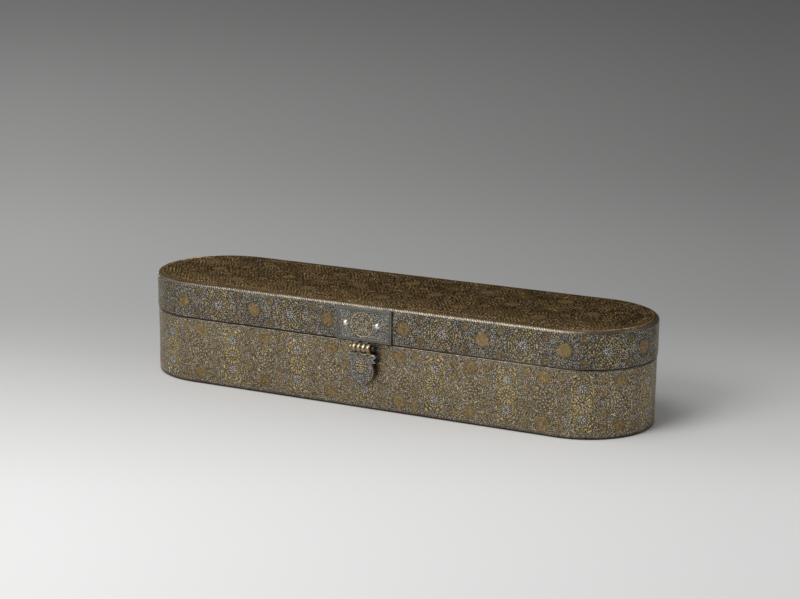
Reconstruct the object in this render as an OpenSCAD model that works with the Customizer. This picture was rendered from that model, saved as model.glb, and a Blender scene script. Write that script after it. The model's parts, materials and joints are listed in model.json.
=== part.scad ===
// Qalamdan: a long metal pen box with round ends, a hinged lid and a hanging hasp.
// Millimetres. X runs along the box, -Y is the front with the hasp, and +Z is up.
// The origin is the middle of the flat base.

/* [Body] */
// Overall length of the body
box_l = 300; // [250:1:380]
// Overall width of the body, which is also the diameter of its round ends
box_w = 78.4; // [74:0.2:100]
// Height of the body, from the base to the rim
body_h = 37.4; // [35:0.2:60]
// Thickness of the sheet-metal side walls of the body and the lid
wall_t = 1.6; // [1.2:0.1:2.4]
// Thickness of the floor plate that the wall stands on
floor_t = 1.8; // [1.6:0.1:3]
// Radius of the floor's lower edge
base_edge_r = 1.2; // [0.6:0.1:1.4]
// Radius of the edges that face each other across the seam
rim_r = 0.5; // [0.2:0.1:0.8]

/* [Lid] */
// Height of the lid, from its rim to its flat top
lid_h = 20.6; // [18:0.2:30]
// Thickness of the top plate
top_t = 1.8; // [1.8:0.1:3]
// Radius of the top plate's upper edge
top_edge_r = 1.5; // [0.6:0.1:1.7]
// How far the lid stands out beyond the body all round
lid_overhang = 0.4; // [0.2:0.1:1]
// Open seam between the two rims when the lid is shut
seam_gap = 0.3; // [0.2:0.1:0.8]

/* [Rim flange] */
// Thickness of the strip inside the rim that the lid drops over
flange_t = 1; // [0.6:0.1:1.6]
// How far the strip stands above the rim
flange_rise = 4; // [2:0.5:7]

/* [Ink end] */
// Depth of the pot deck below the rim
deck_drop = 8; // [5:0.5:12]
// Thickness of the pot deck
deck_t = 1.2; // [0.8:0.1:2]
// Thickness of the cross wall that carries the deck and closes the pen trough
partition_t = 1.4; // [0.8:0.1:2.4]
// Outer radius of the inkwell below its lip
inkwell_r = 17; // [14:0.5:19]
// Space between the inkwell's foot and the floor
inkwell_clear = 4; // [2:0.5:8]
// Distance of the inkwell's middle from the end of the box
inkwell_inset = 33.2; // [28:0.2:40]
// Outer radius of the two small cups below their lips
cup_r = 9; // [7:0.5:10]
// Depth of the two small cups
cup_depth = 16; // [10:0.5:20]
// Distance of each cup's middle from the box's long middle line
cup_offset = 16; // [14:0.5:20]
// Wall of the pots
pot_t = 1; // [0.6:0.1:1.6]
// Width of the lip by which a pot hangs on the deck
pot_lip = 2.4; // [1.4:0.1:3]
// Space between the pots' lips, and between a lip and the cross wall
pot_gap = 3; // [1.5:0.5:6]

/* [Hasp] */
// Width of the plate riveted to the lid
hasp_w = 33.2; // [28:0.2:50]
// Thickness of the plate
hasp_t = 1.2; // [0.8:0.1:1.8]
// Space between the plate's top edge and the lid's rounded edge
hasp_margin = 0.2; // [0:0.2:4]
// Width of the raised border round the plate
hasp_border = 1.4; // [0.8:0.1:2.4]
// Depth of the panel inside that border
hasp_panel = 0.3; // [0.1:0.1:0.5]
// Outer radius of the hasp's knuckles
hasp_knuckle_r = 2.6; // [2.2:0.1:3.4]
// Radius of the hasp's pin
hasp_pin_r = 1.1; // [0.7:0.1:1.4]
// Length of one knuckle of the hasp
hasp_knuckle_l = 2.8; // [2:0.1:4]
// Left rivet's distance from the middle of the plate
hasp_rivet_left = 11; // [8:0.2:13]
// Right rivet's distance from the middle of the plate
hasp_rivet_right = 8; // [6:0.2:13]
// Radius of a hasp rivet's domed head
hasp_rivet_r = 1.8; // [1.2:0.1:2.4]
// Thickness of the hanging tongue
tongue_t = 2.2; // [1.6:0.1:2.4]
// Distance from the pin to the tongue's point
tongue_l = 22.8; // [20:0.2:28]
// Radius of the tongue's round belly
tongue_r = 7.4; // [6:0.2:8]
// Distance from the pin to the middle of the belly
tongue_belly = 12.6; // [12:0.2:14]
// Half width of the tongue at its shoulders
tongue_shoulder = 8.4; // [7.5:0.1:10]
// Distance from the pin to the catch behind the tongue
catch_drop = 17; // [12:0.2:18]
// Width of the catch
catch_w = 3; // [2:0.1:4]
// Height of the catch
catch_h = 2; // [1.4:0.1:3]

/* [Hinges] */
// Distance of each hinge's middle from the nearer end of the box
hinge_inset = 75; // [65:1:95]
// Width of the hinge plates
hinge_w = 24; // [20:0.5:32]
// Height of one hinge plate
hinge_h = 12; // [9:0.5:13]
// Thickness of the hinge plates
hinge_t = 1.2; // [0.8:0.1:1.8]
// Outer radius of the hinge knuckles
hinge_knuckle_r = 2.6; // [2.2:0.1:3]
// Radius of the hinge pins
hinge_pin_r = 1; // [0.7:0.1:1.3]
// Length of one knuckle of a hinge
hinge_knuckle_l = 3.2; // [2.4:0.1:4]
// Distance between the two rivets of a hinge plate
hinge_rivet_pitch = 14; // [10:0.5:16]
// Radius of a hinge rivet's domed head
hinge_rivet_r = 1.5; // [1:0.1:2]

/* [Hidden] */
$fn = 64;

// Clearances that the fits share.
pin_fit = 0.05;     // radial play of a pin in its knuckles
knuckle_play = 0.2; // play along the pin between two knuckles
leaf_play = 0.3;    // space between a knuckle and what doesn't belong to it
solder_gap = 0.1;   // film of solder round a piece set into the wall
rivet_fit = 0.03;   // radial play of a rivet in its holes
pot_fit = 0.25;     // radial play of a pot in the deck
catch_fit = 0.5;    // space round the catch in its slot, and between it and the wall at rest
lift = 0.01;        // how far a cutting shape reaches past what it cuts

// Proportions of small formed details.
hasp_knuckles = 4;    // knuckles of the hasp, counted along the pin
hinge_knuckles = 5;   // knuckles of a hinge on the back
ball_factor = 1.45;   // a pin's ball end, against the pin's radius
socket_depth = 1.1;   // how far a pin goes into its ball cap
dome_factor = 0.7;    // height of a rivet's dome, against its radius
shank_factor = 0.5;   // radius of a rivet's shank, against its dome
lip_t = 1;            // thickness of a pot's lip
pot_corner = 0.48;    // rounding of a pot's foot, against its radius
barb_pitch = 3.1;     // distance between the two barbs on the tongue's shoulder
barb_depth = 1.5;     // how far the notch under a barb cuts in

body_r = box_w / 2;
lid_r = body_r + lid_overhang;
straight_l = box_l - box_w;
inner_r = body_r - wall_t;
lid_z = body_h + seam_gap;
top_z = lid_z + lid_h;
deck_z = body_h - deck_drop;

inkwell_x = inkwell_inset - box_l / 2;
inkwell_lip_r = inkwell_r + pot_lip;
cup_lip_r = cup_r + pot_lip;
inkwell_depth = deck_z - floor_t - inkwell_clear;
cup_x = inkwell_x + sqrt(pow(inkwell_lip_r + cup_lip_r + pot_gap, 2) - pow(cup_offset, 2));
partition_x = cup_x + cup_lip_r + pot_gap;

hasp_edge = hasp_knuckle_r + leaf_play;
hasp_wall = hasp_knuckle_r + leaf_play;
hasp_y = -(lid_r + hasp_wall);
hasp_z = lid_z - hasp_knuckle_r;
hasp_h = top_z - top_edge_r - hasp_margin - hasp_z - hasp_edge;
hasp_rivet_z = hasp_edge + hasp_h / 2;
hasp_rivet_x = [-hasp_rivet_left, hasp_rivet_right];
hasp_half_l = hasp_knuckles * hasp_knuckle_l / 2;
catch_l = hasp_wall + lid_overhang - tongue_t / 2 - catch_fit;

hinge_x = box_l / 2 - hinge_inset;
hinge_edge = hinge_knuckle_r + leaf_play;
hinge_lid_wall = hinge_knuckle_r + leaf_play;
hinge_body_wall = hinge_lid_wall + lid_overhang;
hinge_y = lid_r + hinge_lid_wall;
hinge_z = body_h + seam_gap / 2;
hinge_rivet_z = hinge_edge + hinge_h / 2;
hinge_rivet_x = [-hinge_rivet_pitch / 2, hinge_rivet_pitch / 2];
hinge_half_l = hinge_knuckles * hinge_knuckle_l / 2;

plate_own = [0, 2];      // knuckles of the hasp that belong to its plate
tongue_own = [1, 3];     // and to its tongue
lid_leaf_own = [0, 2, 4]; // knuckles of a hinge that belong to the lid's leaf
body_leaf_own = [1, 3];   // and to the body's

brass = "darkgoldenrod";
dark_brass = "#5c4d33";
bright_brass = "goldenrod";
silver = "silver";
steel_grey = "#6b6a66";

// A block in the XY plane with its outer lower corner rounded.
module rounded_block(w, h, r) {
    square([w - r, h]);
    translate([0, r]) square([w, h - r]);
    translate([w - r, r]) intersection() {
        circle(r);
        translate([0, -r]) square(r);
    }
}

// The section of a wall between two heights, its outer lower corner rounded.
module wall_section(outer_r, t, h, r) {
    translate([outer_r - t, 0]) rounded_block(t, h, r);
}

// Carries a section (x outward from the middle, y up) round the long oval of the box.
module round_the_box() {
    for (turn = [-90, 90])
        translate([-sign(turn) * straight_l / 2, 0, 0])
            rotate([0, 0, turn]) rotate_extrude(angle = 180) children();
    for (side = [0, 1])
        mirror([0, side, 0]) translate([-straight_l / 2, 0, 0])
            rotate([90, 0, 90]) linear_extrude(straight_l) children();
}

// The long oval itself, as an outline.
module oval(r) {
    square([straight_l, 2 * r], center = true);
    for (end = [-1, 1]) translate([end * straight_l / 2, 0]) circle(r);
}

// A cylinder along X, centred on the origin.
module along_x(r, l) {
    rotate([0, 90, 0]) cylinder(r = r, h = l, center = true);
}

// Where a knuckle sits along the pin, among a number of them.
function knuckle_at(i, n, l) = (i - (n - 1) / 2) * l;

// A bored knuckle's blank, without its bore.
module knuckle(i, n, r, l) {
    translate([knuckle_at(i, n, l), 0, 0]) along_x(r, l - knuckle_play);
}

// Half a hinge. The pin is on the X axis, the wall's face is at +Y and the plate goes up.
module leaf(w, h, t, edge, wall, knuckle_r, knuckle_l, pin_r, own, n, rivets, rivet_z, rivet_r) {
    tang_l = knuckle_l - knuckle_play;
    difference() {
        union() {
            translate([-w / 2, wall - t, edge]) cube([w, t, h]);
            for (i = own) {
                knuckle(i, n, knuckle_r, knuckle_l);
                translate([knuckle_at(i, n, knuckle_l) - tang_l / 2, wall - t, leaf_play])
                    cube([tang_l, t, edge]);
            }
        }
        along_x(pin_r + pin_fit, n * knuckle_l + w);
        rivet_holes(rivets, rivet_z, rivet_r, wall + lift);
    }
}

// Holes for a row of rivets that go in along +Y, as far as the depth given.
module rivet_holes(xs, z, head_r, depth) {
    for (x = xs)
        translate([x, 0, z]) rotate([-90, 0, 0])
            cylinder(r = head_r * shank_factor + rivet_fit, h = depth);
}

// Rivets with domed heads on the face at y, filed flush at the far end of their grip.
module rivets(xs, z, y, head_r, grip) {
    dome_h = head_r * dome_factor;
    ball_r = (head_r * head_r + dome_h * dome_h) / (2 * dome_h);
    for (x = xs)
        translate([x, y, z]) rotate([-90, 0, 0]) {
            cylinder(r = head_r * shank_factor, h = grip);
            intersection() {
                translate([0, 0, ball_r - dome_h]) sphere(ball_r);
                translate([0, 0, -dome_h]) cylinder(r = head_r + lift, h = dome_h);
            }
        }
}

// A pin through knuckles that reach half_l each way: a ball on its left end, a bare right end.
module pin(r, half_l) {
    translate([-half_l - r, 0, 0]) rotate([0, 90, 0]) {
        sphere(r * ball_factor);
        cylinder(r = r, h = 2 * half_l + r + socket_depth);
    }
}

// The ball cap that is soldered on the bare end of such a pin.
module pin_cap(r, half_l) {
    ball_r = r * ball_factor;
    difference() {
        translate([half_l + r, 0, 0]) rotate([0, 90, 0]) sphere(ball_r);
        translate([half_l - ball_r, 0, 0]) rotate([0, 90, 0])
            cylinder(r = r + rivet_fit, h = ball_r + socket_depth);
        translate([half_l - 2 * ball_r, -ball_r, -ball_r])
            cube([2 * ball_r, 2 * ball_r, 2 * ball_r]);
    }
}

// A round pot that hangs by its lip, with its lip's underside at z = 0.
module pot(r, depth) {
    corner = r * pot_corner;
    rotate_extrude() {
        difference() {
            translate([0, -depth]) rounded_block(r, depth + lip_t, corner);
            translate([0, pot_t - depth])
                rounded_block(r - pot_t, depth + lip_t, corner - pot_t);
        }
        translate([r - pot_t, 0]) square([pot_lip + pot_t, lip_t]);
    }
}

// Places a hinge half on the back of the box, at one of the two hinges.
module at_hinge(side) {
    translate([side * hinge_x, hinge_y, hinge_z]) rotate([0, 0, 180]) children();
}

// Places a piece of the hasp on the front of the box.
module at_hasp() {
    translate([0, hasp_y, hasp_z]) children();
}

module body_floor() {
    color(dark_brass) round_the_box() rounded_block(body_r, floor_t, base_edge_r);
}

module body_wall() {
    color(dark_brass) difference() {
        round_the_box() translate([0, body_h]) mirror([0, 1])
            wall_section(body_r, wall_t, body_h - floor_t, rim_r);
        for (side = [-1, 1]) at_hinge(side) mirror([0, 0, 1])
            rivet_holes(hinge_rivet_x, hinge_rivet_z, hinge_rivet_r,
                        hinge_body_wall + wall_t + lift);
        at_hasp() translate([0, hasp_wall + lid_overhang + wall_t / 2, -catch_drop])
            cube([catch_w + 2 * catch_fit, wall_t + 2 * lift, catch_h + 2 * catch_fit],
                 center = true);
    }
}

module rim_flange() {
    color(brass) round_the_box() translate([inner_r - flange_t, deck_z])
        square([flange_t, deck_drop + flange_rise]);
}

module ink_partition() {
    half_w = inner_r - solder_gap;
    color(brass) translate([partition_x - partition_t / 2, -half_w, floor_t])
        cube([partition_t, 2 * half_w, deck_z - deck_t - floor_t]);
}

module ink_deck() {
    deck_end = partition_x + partition_t / 2;
    color(brass) translate([0, 0, deck_z - deck_t]) linear_extrude(deck_t) difference() {
        intersection() {
            oval(inner_r - solder_gap);
            translate([deck_end - box_l, -body_r]) square([box_l, 2 * body_r]);
        }
        translate([inkwell_x, 0]) circle(inkwell_r + pot_fit);
        for (side = [-1, 1])
            translate([cup_x, side * cup_offset]) circle(cup_r + pot_fit);
    }
}

module inkwell() {
    color(brass) translate([inkwell_x, 0, deck_z]) pot(inkwell_r, inkwell_depth);
}

module small_cup(side) {
    color(brass) translate([cup_x, side * cup_offset, deck_z]) pot(cup_r, cup_depth);
}

module hinge_body_leaf(side) {
    color(bright_brass) at_hinge(side) mirror([0, 0, 1])
        leaf(hinge_w, hinge_h, hinge_t, hinge_edge, hinge_body_wall, hinge_knuckle_r,
             hinge_knuckle_l, hinge_pin_r, body_leaf_own, hinge_knuckles, hinge_rivet_x,
             hinge_rivet_z, hinge_rivet_r);
}

module hinge_lid_leaf(side) {
    color(bright_brass) at_hinge(side)
        leaf(hinge_w, hinge_h, hinge_t, hinge_edge, hinge_lid_wall, hinge_knuckle_r,
             hinge_knuckle_l, hinge_pin_r, lid_leaf_own, hinge_knuckles, hinge_rivet_x,
             hinge_rivet_z, hinge_rivet_r);
}

module hinge_pin(side) {
    color(bright_brass) at_hinge(side) pin(hinge_pin_r, hinge_half_l);
}

module hinge_pin_cap(side) {
    color(bright_brass) at_hinge(side) pin_cap(hinge_pin_r, hinge_half_l);
}

module hinge_body_rivets() {
    color(bright_brass) for (side = [-1, 1]) at_hinge(side) mirror([0, 0, 1])
        rivets(hinge_rivet_x, hinge_rivet_z, hinge_body_wall - hinge_t, hinge_rivet_r,
               hinge_t + wall_t);
}

module hinge_lid_rivets() {
    color(bright_brass) for (side = [-1, 1]) at_hinge(side)
        rivets(hinge_rivet_x, hinge_rivet_z, hinge_lid_wall - hinge_t, hinge_rivet_r,
               hinge_t + wall_t);
}

module lid_band() {
    color(dark_brass) difference() {
        round_the_box() translate([0, lid_z])
            wall_section(lid_r, wall_t, lid_h - top_t, rim_r);
        for (side = [-1, 1]) at_hinge(side)
            rivet_holes(hinge_rivet_x, hinge_rivet_z, hinge_rivet_r,
                        hinge_lid_wall + wall_t + lift);
        at_hasp() rivet_holes(hasp_rivet_x, hasp_rivet_z, hasp_rivet_r,
                              hasp_wall + wall_t + lift);
    }
}

module lid_top() {
    color(dark_brass) translate([0, 0, top_z]) mirror([0, 0, 1])
        round_the_box() rounded_block(lid_r, top_t, top_edge_r);
}

module hasp_plate() {
    color(steel_grey) at_hasp() difference() {
        leaf(hasp_w, hasp_h, hasp_t, hasp_edge, hasp_wall, hasp_knuckle_r, hasp_knuckle_l,
             hasp_pin_r, plate_own, hasp_knuckles, hasp_rivet_x, hasp_rivet_z, hasp_rivet_r);
        translate([hasp_border - hasp_w / 2, hasp_wall - hasp_t - lift, hasp_edge + hasp_border])
            cube([hasp_w - 2 * hasp_border, hasp_panel + lift, hasp_h - 2 * hasp_border]);
    }
}

module hasp_rivets() {
    color(silver) at_hasp()
        rivets(hasp_rivet_x, hasp_rivet_z, hasp_wall - hasp_t + hasp_panel, hasp_rivet_r,
               hasp_t - hasp_panel + wall_t);
}

module hasp_pin() {
    color(bright_brass) at_hasp() pin(hasp_pin_r, hasp_half_l);
}

module hasp_pin_cap() {
    color(bright_brass) at_hasp() pin_cap(hasp_pin_r, hasp_half_l);
}

// The tongue's outline, seen from the front with the pin at the origin and the point down.
module tongue_outline() {
    drop = tongue_l - tongue_belly;
    half_angle = asin(tongue_r / drop);
    touch = [tongue_r * cos(half_angle), -tongue_belly - tongue_r * sin(half_angle)];
    notch_w = tongue_shoulder - barb_depth;
    barb_z = -hasp_edge - barb_pitch / 2;
    right_side = [
        [notch_w, -hasp_edge], [tongue_shoulder, barb_z],
        [notch_w, barb_z - barb_pitch / 2],
        [tongue_shoulder - barb_depth / 4, barb_z - barb_pitch],
        [0, -tongue_belly]
    ];
    translate([0, -tongue_belly]) circle(tongue_r);
    polygon([touch, [0, -tongue_l], [-touch[0], touch[1]], [0, -tongue_belly]]);
    for (side = [0, 1]) mirror([side, 0]) polygon(concat([[0, -hasp_edge]], right_side));
}

module hasp_tongue() {
    tang_l = hasp_knuckle_l - knuckle_play;
    color(steel_grey) at_hasp() difference() {
        union() {
            translate([0, tongue_t / 2, 0]) rotate([90, 0, 0])
                linear_extrude(tongue_t) tongue_outline();
            for (i = tongue_own) {
                knuckle(i, hasp_knuckles, hasp_knuckle_r, hasp_knuckle_l);
                translate([knuckle_at(i, hasp_knuckles, hasp_knuckle_l) - tang_l / 2, -tongue_t / 2,
                           -hasp_edge - hasp_pin_r])
                    cube([tang_l, tongue_t, hasp_edge]);
            }
        }
        along_x(hasp_pin_r + pin_fit, 2 * hasp_half_l + hasp_w);
    }
}

// The lug on the tongue's back that goes into the slot when the tongue is pressed in.
module hasp_catch() {
    color(bright_brass) at_hasp()
        translate([-catch_w / 2, tongue_t / 2, -catch_drop - catch_h / 2])
            cube([catch_w, catch_l, catch_h]);
}

body_floor();
body_wall();
rim_flange();
ink_partition();
ink_deck();
inkwell();
small_cup(1);  // sand_cup
small_cup(-1);  // paste_cup
hinge_body_leaf(-1);  // hinge_left_body_leaf
hinge_body_leaf(1);  // hinge_right_body_leaf
hinge_pin(-1);  // hinge_left_pin
hinge_pin(1);  // hinge_right_pin
hinge_pin_cap(-1);  // hinge_left_pin_cap
hinge_pin_cap(1);  // hinge_right_pin_cap
hinge_body_rivets();
lid_band();
lid_top();
hinge_lid_leaf(-1);  // hinge_left_lid_leaf
hinge_lid_leaf(1);  // hinge_right_lid_leaf
hinge_lid_rivets();
hasp_plate();
hasp_rivets();
hasp_pin();
hasp_pin_cap();
hasp_tongue();
hasp_catch();
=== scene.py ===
"""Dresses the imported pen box: smooth shells, gold and silver inlay, hasp, hinges, pots and a studio."""
import json
import math
import random

import bmesh
import bpy
from bpy.props import FloatProperty, FloatVectorProperty, IntProperty, PointerProperty
from mathutils import Matrix, Vector


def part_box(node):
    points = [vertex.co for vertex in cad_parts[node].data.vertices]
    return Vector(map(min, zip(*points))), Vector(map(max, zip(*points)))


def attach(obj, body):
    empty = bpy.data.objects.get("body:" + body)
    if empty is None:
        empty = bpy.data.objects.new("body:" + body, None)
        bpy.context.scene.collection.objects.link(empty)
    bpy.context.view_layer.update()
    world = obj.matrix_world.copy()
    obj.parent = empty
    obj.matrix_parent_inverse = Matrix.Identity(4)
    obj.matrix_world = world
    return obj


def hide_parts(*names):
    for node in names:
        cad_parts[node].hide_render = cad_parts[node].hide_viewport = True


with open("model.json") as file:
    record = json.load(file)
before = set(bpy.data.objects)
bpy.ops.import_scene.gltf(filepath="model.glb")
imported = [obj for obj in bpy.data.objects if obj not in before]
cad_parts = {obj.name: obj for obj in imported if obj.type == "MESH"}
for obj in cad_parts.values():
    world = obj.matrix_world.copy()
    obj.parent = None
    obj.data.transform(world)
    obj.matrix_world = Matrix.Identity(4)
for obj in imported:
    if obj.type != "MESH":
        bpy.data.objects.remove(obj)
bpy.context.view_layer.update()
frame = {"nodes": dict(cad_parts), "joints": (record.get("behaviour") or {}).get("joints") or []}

bl_info = {
    "name": "Inlaid Pen Box",
    "version": (1, 0, 0),
    "blender": (4, 5, 0),
    "location": "3D View > Sidebar > Pen Box",
    "description": "Builds the looks of a long inlaid pen box round its packed solids",
    "category": "Object",
}

MM = 0.001
TURN = 2 * math.pi
HANDS = (-1, 1)  # left and right, or down and up
SEED = 41
MERGE = 0.001 * MM  # points nearer to each other than this become one
SHELL_CREASE = math.radians(35)  # edges that bend more than this are shaded sharp
INLAY_CREASE = math.radians(8)

# Where the solids are, read from the frame.
BODY_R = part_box("body_wall")[1].y
LID_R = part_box("lid_band")[1].y
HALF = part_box("body_wall")[1].x - BODY_R
FLOOR_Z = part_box("body_wall")[0].z
RIM_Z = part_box("body_wall")[1].z
LID_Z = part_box("lid_band")[0].z
PLATE_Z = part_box("lid_top")[0].z
TOP_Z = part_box("lid_top")[1].z
JOINTS = {joint["name"]: Vector(joint["pos_m"]) for joint in frame["joints"]}
HASP_PIN = JOINTS["hasp_hinge"]
HINGE_PIN = JOINTS["lid_hinge"]


def length(name, description, millimetres):
    """A property that holds a length, given in millimetres."""
    return FloatProperty(name=name, description=description, default=millimetres * MM, unit="LENGTH")


def tint(name, description, colour):
    """A property that holds a colour, as linear values."""
    return FloatVectorProperty(name=name, description=description, default=colour, size=3, subtype="COLOR")


class PenBoxSizes(bpy.types.PropertyGroup):
    """Sizes of the details that the solids leave out."""

    wall: length("Wall", "Thickness of the side walls", 1.6)
    shell_inset: length("Shell inset", "How far the ground lies below the solid's face", 0.1)
    top_inset: length("Top inset", "How far the ground of the lid's top lies below the solid's face", 0.11)
    inlay_depth: length("Inlay depth", "Height of one stud of inlay, half of it sunk in the ground", 0.1)
    top_edge: length("Top edge", "Radius of the lid's upper edge", 1.8)
    crown_drop: length("Crown drop", "How far the lid's top falls towards its edge", 0.1)
    crown_width: length("Crown width", "Width of the part of the top that falls", 9.0)
    base_edge: length("Base edge", "Radius of the floor's lower edge", 1.2)
    rim_edge: length("Rim edge", "Radius of the edges along the seam", 0.6)
    edge_support: length("Edge support", "Width of the flat strip that keeps an edge's shading tight", 0.3)
    strip: length("Rim strip", "Thickness of the strip inside the rim", 1.0)
    body_pitch: length("Body pitch", "Width of one repeat of the ornament on the body", 41.7)
    dot_pitch: length("Dot pitch", "Distance between the small studs that fill the ground", 1.25)
    dot_radius: length("Dot radius", "Radius of one small stud", 0.33)
    rope_pitch: length("Rope pitch", "Distance between the slanted strokes along the lid's edge", 1.4)
    plate: length("Plate", "Thickness of the hasp's and the hinges' plates", 1.2)
    knuckle: length("Knuckle radius", "Outer radius of the knuckles", 2.58)
    knuckle_play: length("Knuckle play", "Space between two knuckles", 0.2)
    pin_fit: length("Pin fit", "Radial play of a pin in its knuckles", 0.05)
    leaf_play: length("Leaf play", "Space between a knuckle and what it turns past", 0.3)
    lid_cells: IntProperty(
        name="Lid cells", description="Repeats of the ornament round the lid", default=15, min=4)
    stud_lean: FloatProperty(
        name="Stud lean", description="How unevenly the studs were hammered in",
        default=math.radians(3.0), subtype="ANGLE", unit="ROTATION")
    lost_share: FloatProperty(
        name="Lost share", description="Share of the small studs that have fallen out",
        default=0.05, min=0.0, max=1.0, subtype="FACTOR")


class PenBoxColours(bpy.types.PropertyGroup):
    """Colours of the metals and the studio."""

    lid_ground: tint("Lid ground", "Dark ground of the lid's sides", (0.113, 0.098, 0.074))
    body_ground: tint("Body ground", "Brown ground of the body's sides", (0.197, 0.159, 0.103))
    top_ground: tint("Top ground", "Brown ground of the lid's top", (0.115, 0.075, 0.035))
    gold: tint("Gold", "Gold inlay", (0.56, 0.43, 0.20))
    top_gold: tint("Top gold", "Warmer gold on the lid's top", (0.86, 0.56, 0.25))
    roundel: tint("Roundel gold", "Duller gold of the roundels", (0.262, 0.185, 0.09))
    silver: tint("Silver", "Silver inlay", (0.45, 0.445, 0.435))
    star: tint("Star silver", "Brighter silver of the stars", (0.74, 0.74, 0.77))
    rope: tint("Rope", "Silver-gilt of the slanted strokes along the lid's edge", (0.34, 0.29, 0.212))
    rivet: tint("Rivet", "Bright silver of the hasp's rivets", (0.82, 0.81, 0.78))
    brass: tint("Brass", "Rubbed brass of hinges and knuckles", (0.37, 0.295, 0.17))
    lining: tint("Lining", "Aged brass inside the box", (0.36, 0.25, 0.10))
    hasp: tint("Hasp", "Grey metal of the hasp", (0.20, 0.194, 0.175))
    # Painted shade: this dark colour stands for the shade at the foot of the body, in the seam and on the
    # hasp pin's cap.
    base: tint("Base", "Painted shade along the foot of the body, in the seam and on the hasp pin's cap", (0.060, 0.050, 0.037))
    floor: tint("Floor", "Pale floor in front of the box", (0.93, 0.93, 0.925))
    backdrop: tint("Backdrop", "Grey far behind the box", (0.44, 0.44, 0.435))


def sizes():
    return bpy.context.scene.pen_box_sizes


def colours():
    return bpy.context.scene.pen_box_colours


# Node trees and materials.

MIX_FACTOR, MIX_FIRST, MIX_SECOND, MIX_RESULT = 0, 6, 7, 2  # a Mix node's sockets for colours
NO_TINT = (1, 1, 1)
STUD_METAL = {"cloud": 420.0, "bump": 0.03}  # tarnish in small clouds, on a smooth surface


def set_inputs(tree, node, inputs):
    """Sets a node's inputs, by name or number: to a value, or linked from a (node, output) pair."""
    for name, value in inputs.items():
        if isinstance(value, tuple) and isinstance(value[0], bpy.types.Node):
            source, output = value
            tree.links.new(source.outputs[output], node.inputs[name])
        else:
            node.inputs[name].default_value = value


def add_node(tree, kind, inputs=None, **settings):
    """Adds a node, with its own settings and its inputs."""
    node = tree.nodes.new(kind)
    for name, value in settings.items():
        setattr(node, name, value)
    set_inputs(tree, node, inputs or {})
    return node


def new_group(name, inputs, colours_out, values_out=()):
    """Makes a node group from its inputs' defaults and its outputs' names; returns its end nodes too."""
    group = bpy.data.node_groups.new(name, "ShaderNodeTree")
    for label, default in inputs.items():
        kind = "NodeSocketColor" if isinstance(default, tuple) else "NodeSocketFloat"
        group.interface.new_socket(name=label, in_out="INPUT", socket_type=kind).default_value = default
    for labels, kind in ((colours_out, "NodeSocketColor"), (values_out, "NodeSocketFloat")):
        for label in labels:
            group.interface.new_socket(name=label, in_out="OUTPUT", socket_type=kind)
    return group, group.nodes.new("NodeGroupInput"), group.nodes.new("NodeGroupOutput")


def mix_colours(tree, factor, first, second):
    """Mixes two colours, and returns the (node, output) pair of the result."""
    inputs = {MIX_FACTOR: factor, MIX_FIRST: first, MIX_SECOND: second}
    return add_node(tree, "ShaderNodeMix", inputs, data_type="RGBA"), MIX_RESULT


def calculate(tree, operation, first, second, **settings):
    """Works a sum on two values, and returns the (node, output) pair of the result."""
    return add_node(tree, "ShaderNodeMath", {0: first, 1: second}, operation=operation, **settings), "Value"


def remap(tree, value, low, high, to_low=0.0, to_high=1.0, **settings):
    """Carries a value from one range to another, and returns the (node, output) pair of the result."""
    inputs = {"Value": value, "From Min": low, "From Max": high, "To Min": to_low, "To Max": to_high}
    return add_node(tree, "ShaderNodeMapRange", inputs, **settings), "Result"


def aged_metal_group():
    """Tarnish in clouds and specks, rubbed edges, and a fine uneven surface."""
    name = "Aged metal"
    if name in bpy.data.node_groups:
        return bpy.data.node_groups[name]
    group, inside, outside = new_group(
        name,
        {
            "Metal": (0.5, 0.4, 0.2, 1),
            "Tarnish": (0.1, 0.08, 0.05, 1),
            "Rubbed": (0.6, 0.5, 0.3, 1),
            "Tarnish amount": 0.5,
            "Wear": 0.0,
            "Cloud scale": 60.0,
            "Grain scale": 900.0,
            "Smooth": 0.3,
            "Rough": 0.5,
        },
        ("Color",), ("Roughness", "Height"),
    )
    place = add_node(group, "ShaderNodeTexCoord"), "Object"
    cloud = add_node(group, "ShaderNodeTexNoise", {
        "Vector": place, "Scale": (inside, "Cloud scale"), "Detail": 5.0, "Roughness": 0.6}), "Fac"
    grain = add_node(group, "ShaderNodeTexNoise", {
        "Vector": place, "Scale": (inside, "Grain scale"), "Detail": 3.0, "Roughness": 0.7}), "Fac"
    spread = remap(group, cloud, 0.35, 0.68)
    speck = remap(group, grain, 0.42, 0.72)
    both = calculate(group, "ADD", spread, speck)
    amount = calculate(group, "MULTIPLY", both, (inside, "Tarnish amount"), use_clamp=True)
    rubbing = calculate(group, "MULTIPLY", (inside, "Wear"), spread, use_clamp=True)
    tarnished = mix_colours(group, amount, (inside, "Metal"), (inside, "Tarnish"))
    rubbed = mix_colours(group, rubbing, tarnished, (inside, "Rubbed"))
    gloss = remap(group, amount, 0.0, 1.0, (inside, "Smooth"), (inside, "Rough"))
    set_inputs(group, outside, {"Color": rubbed, "Roughness": gloss, "Height": grain})
    return group


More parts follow.
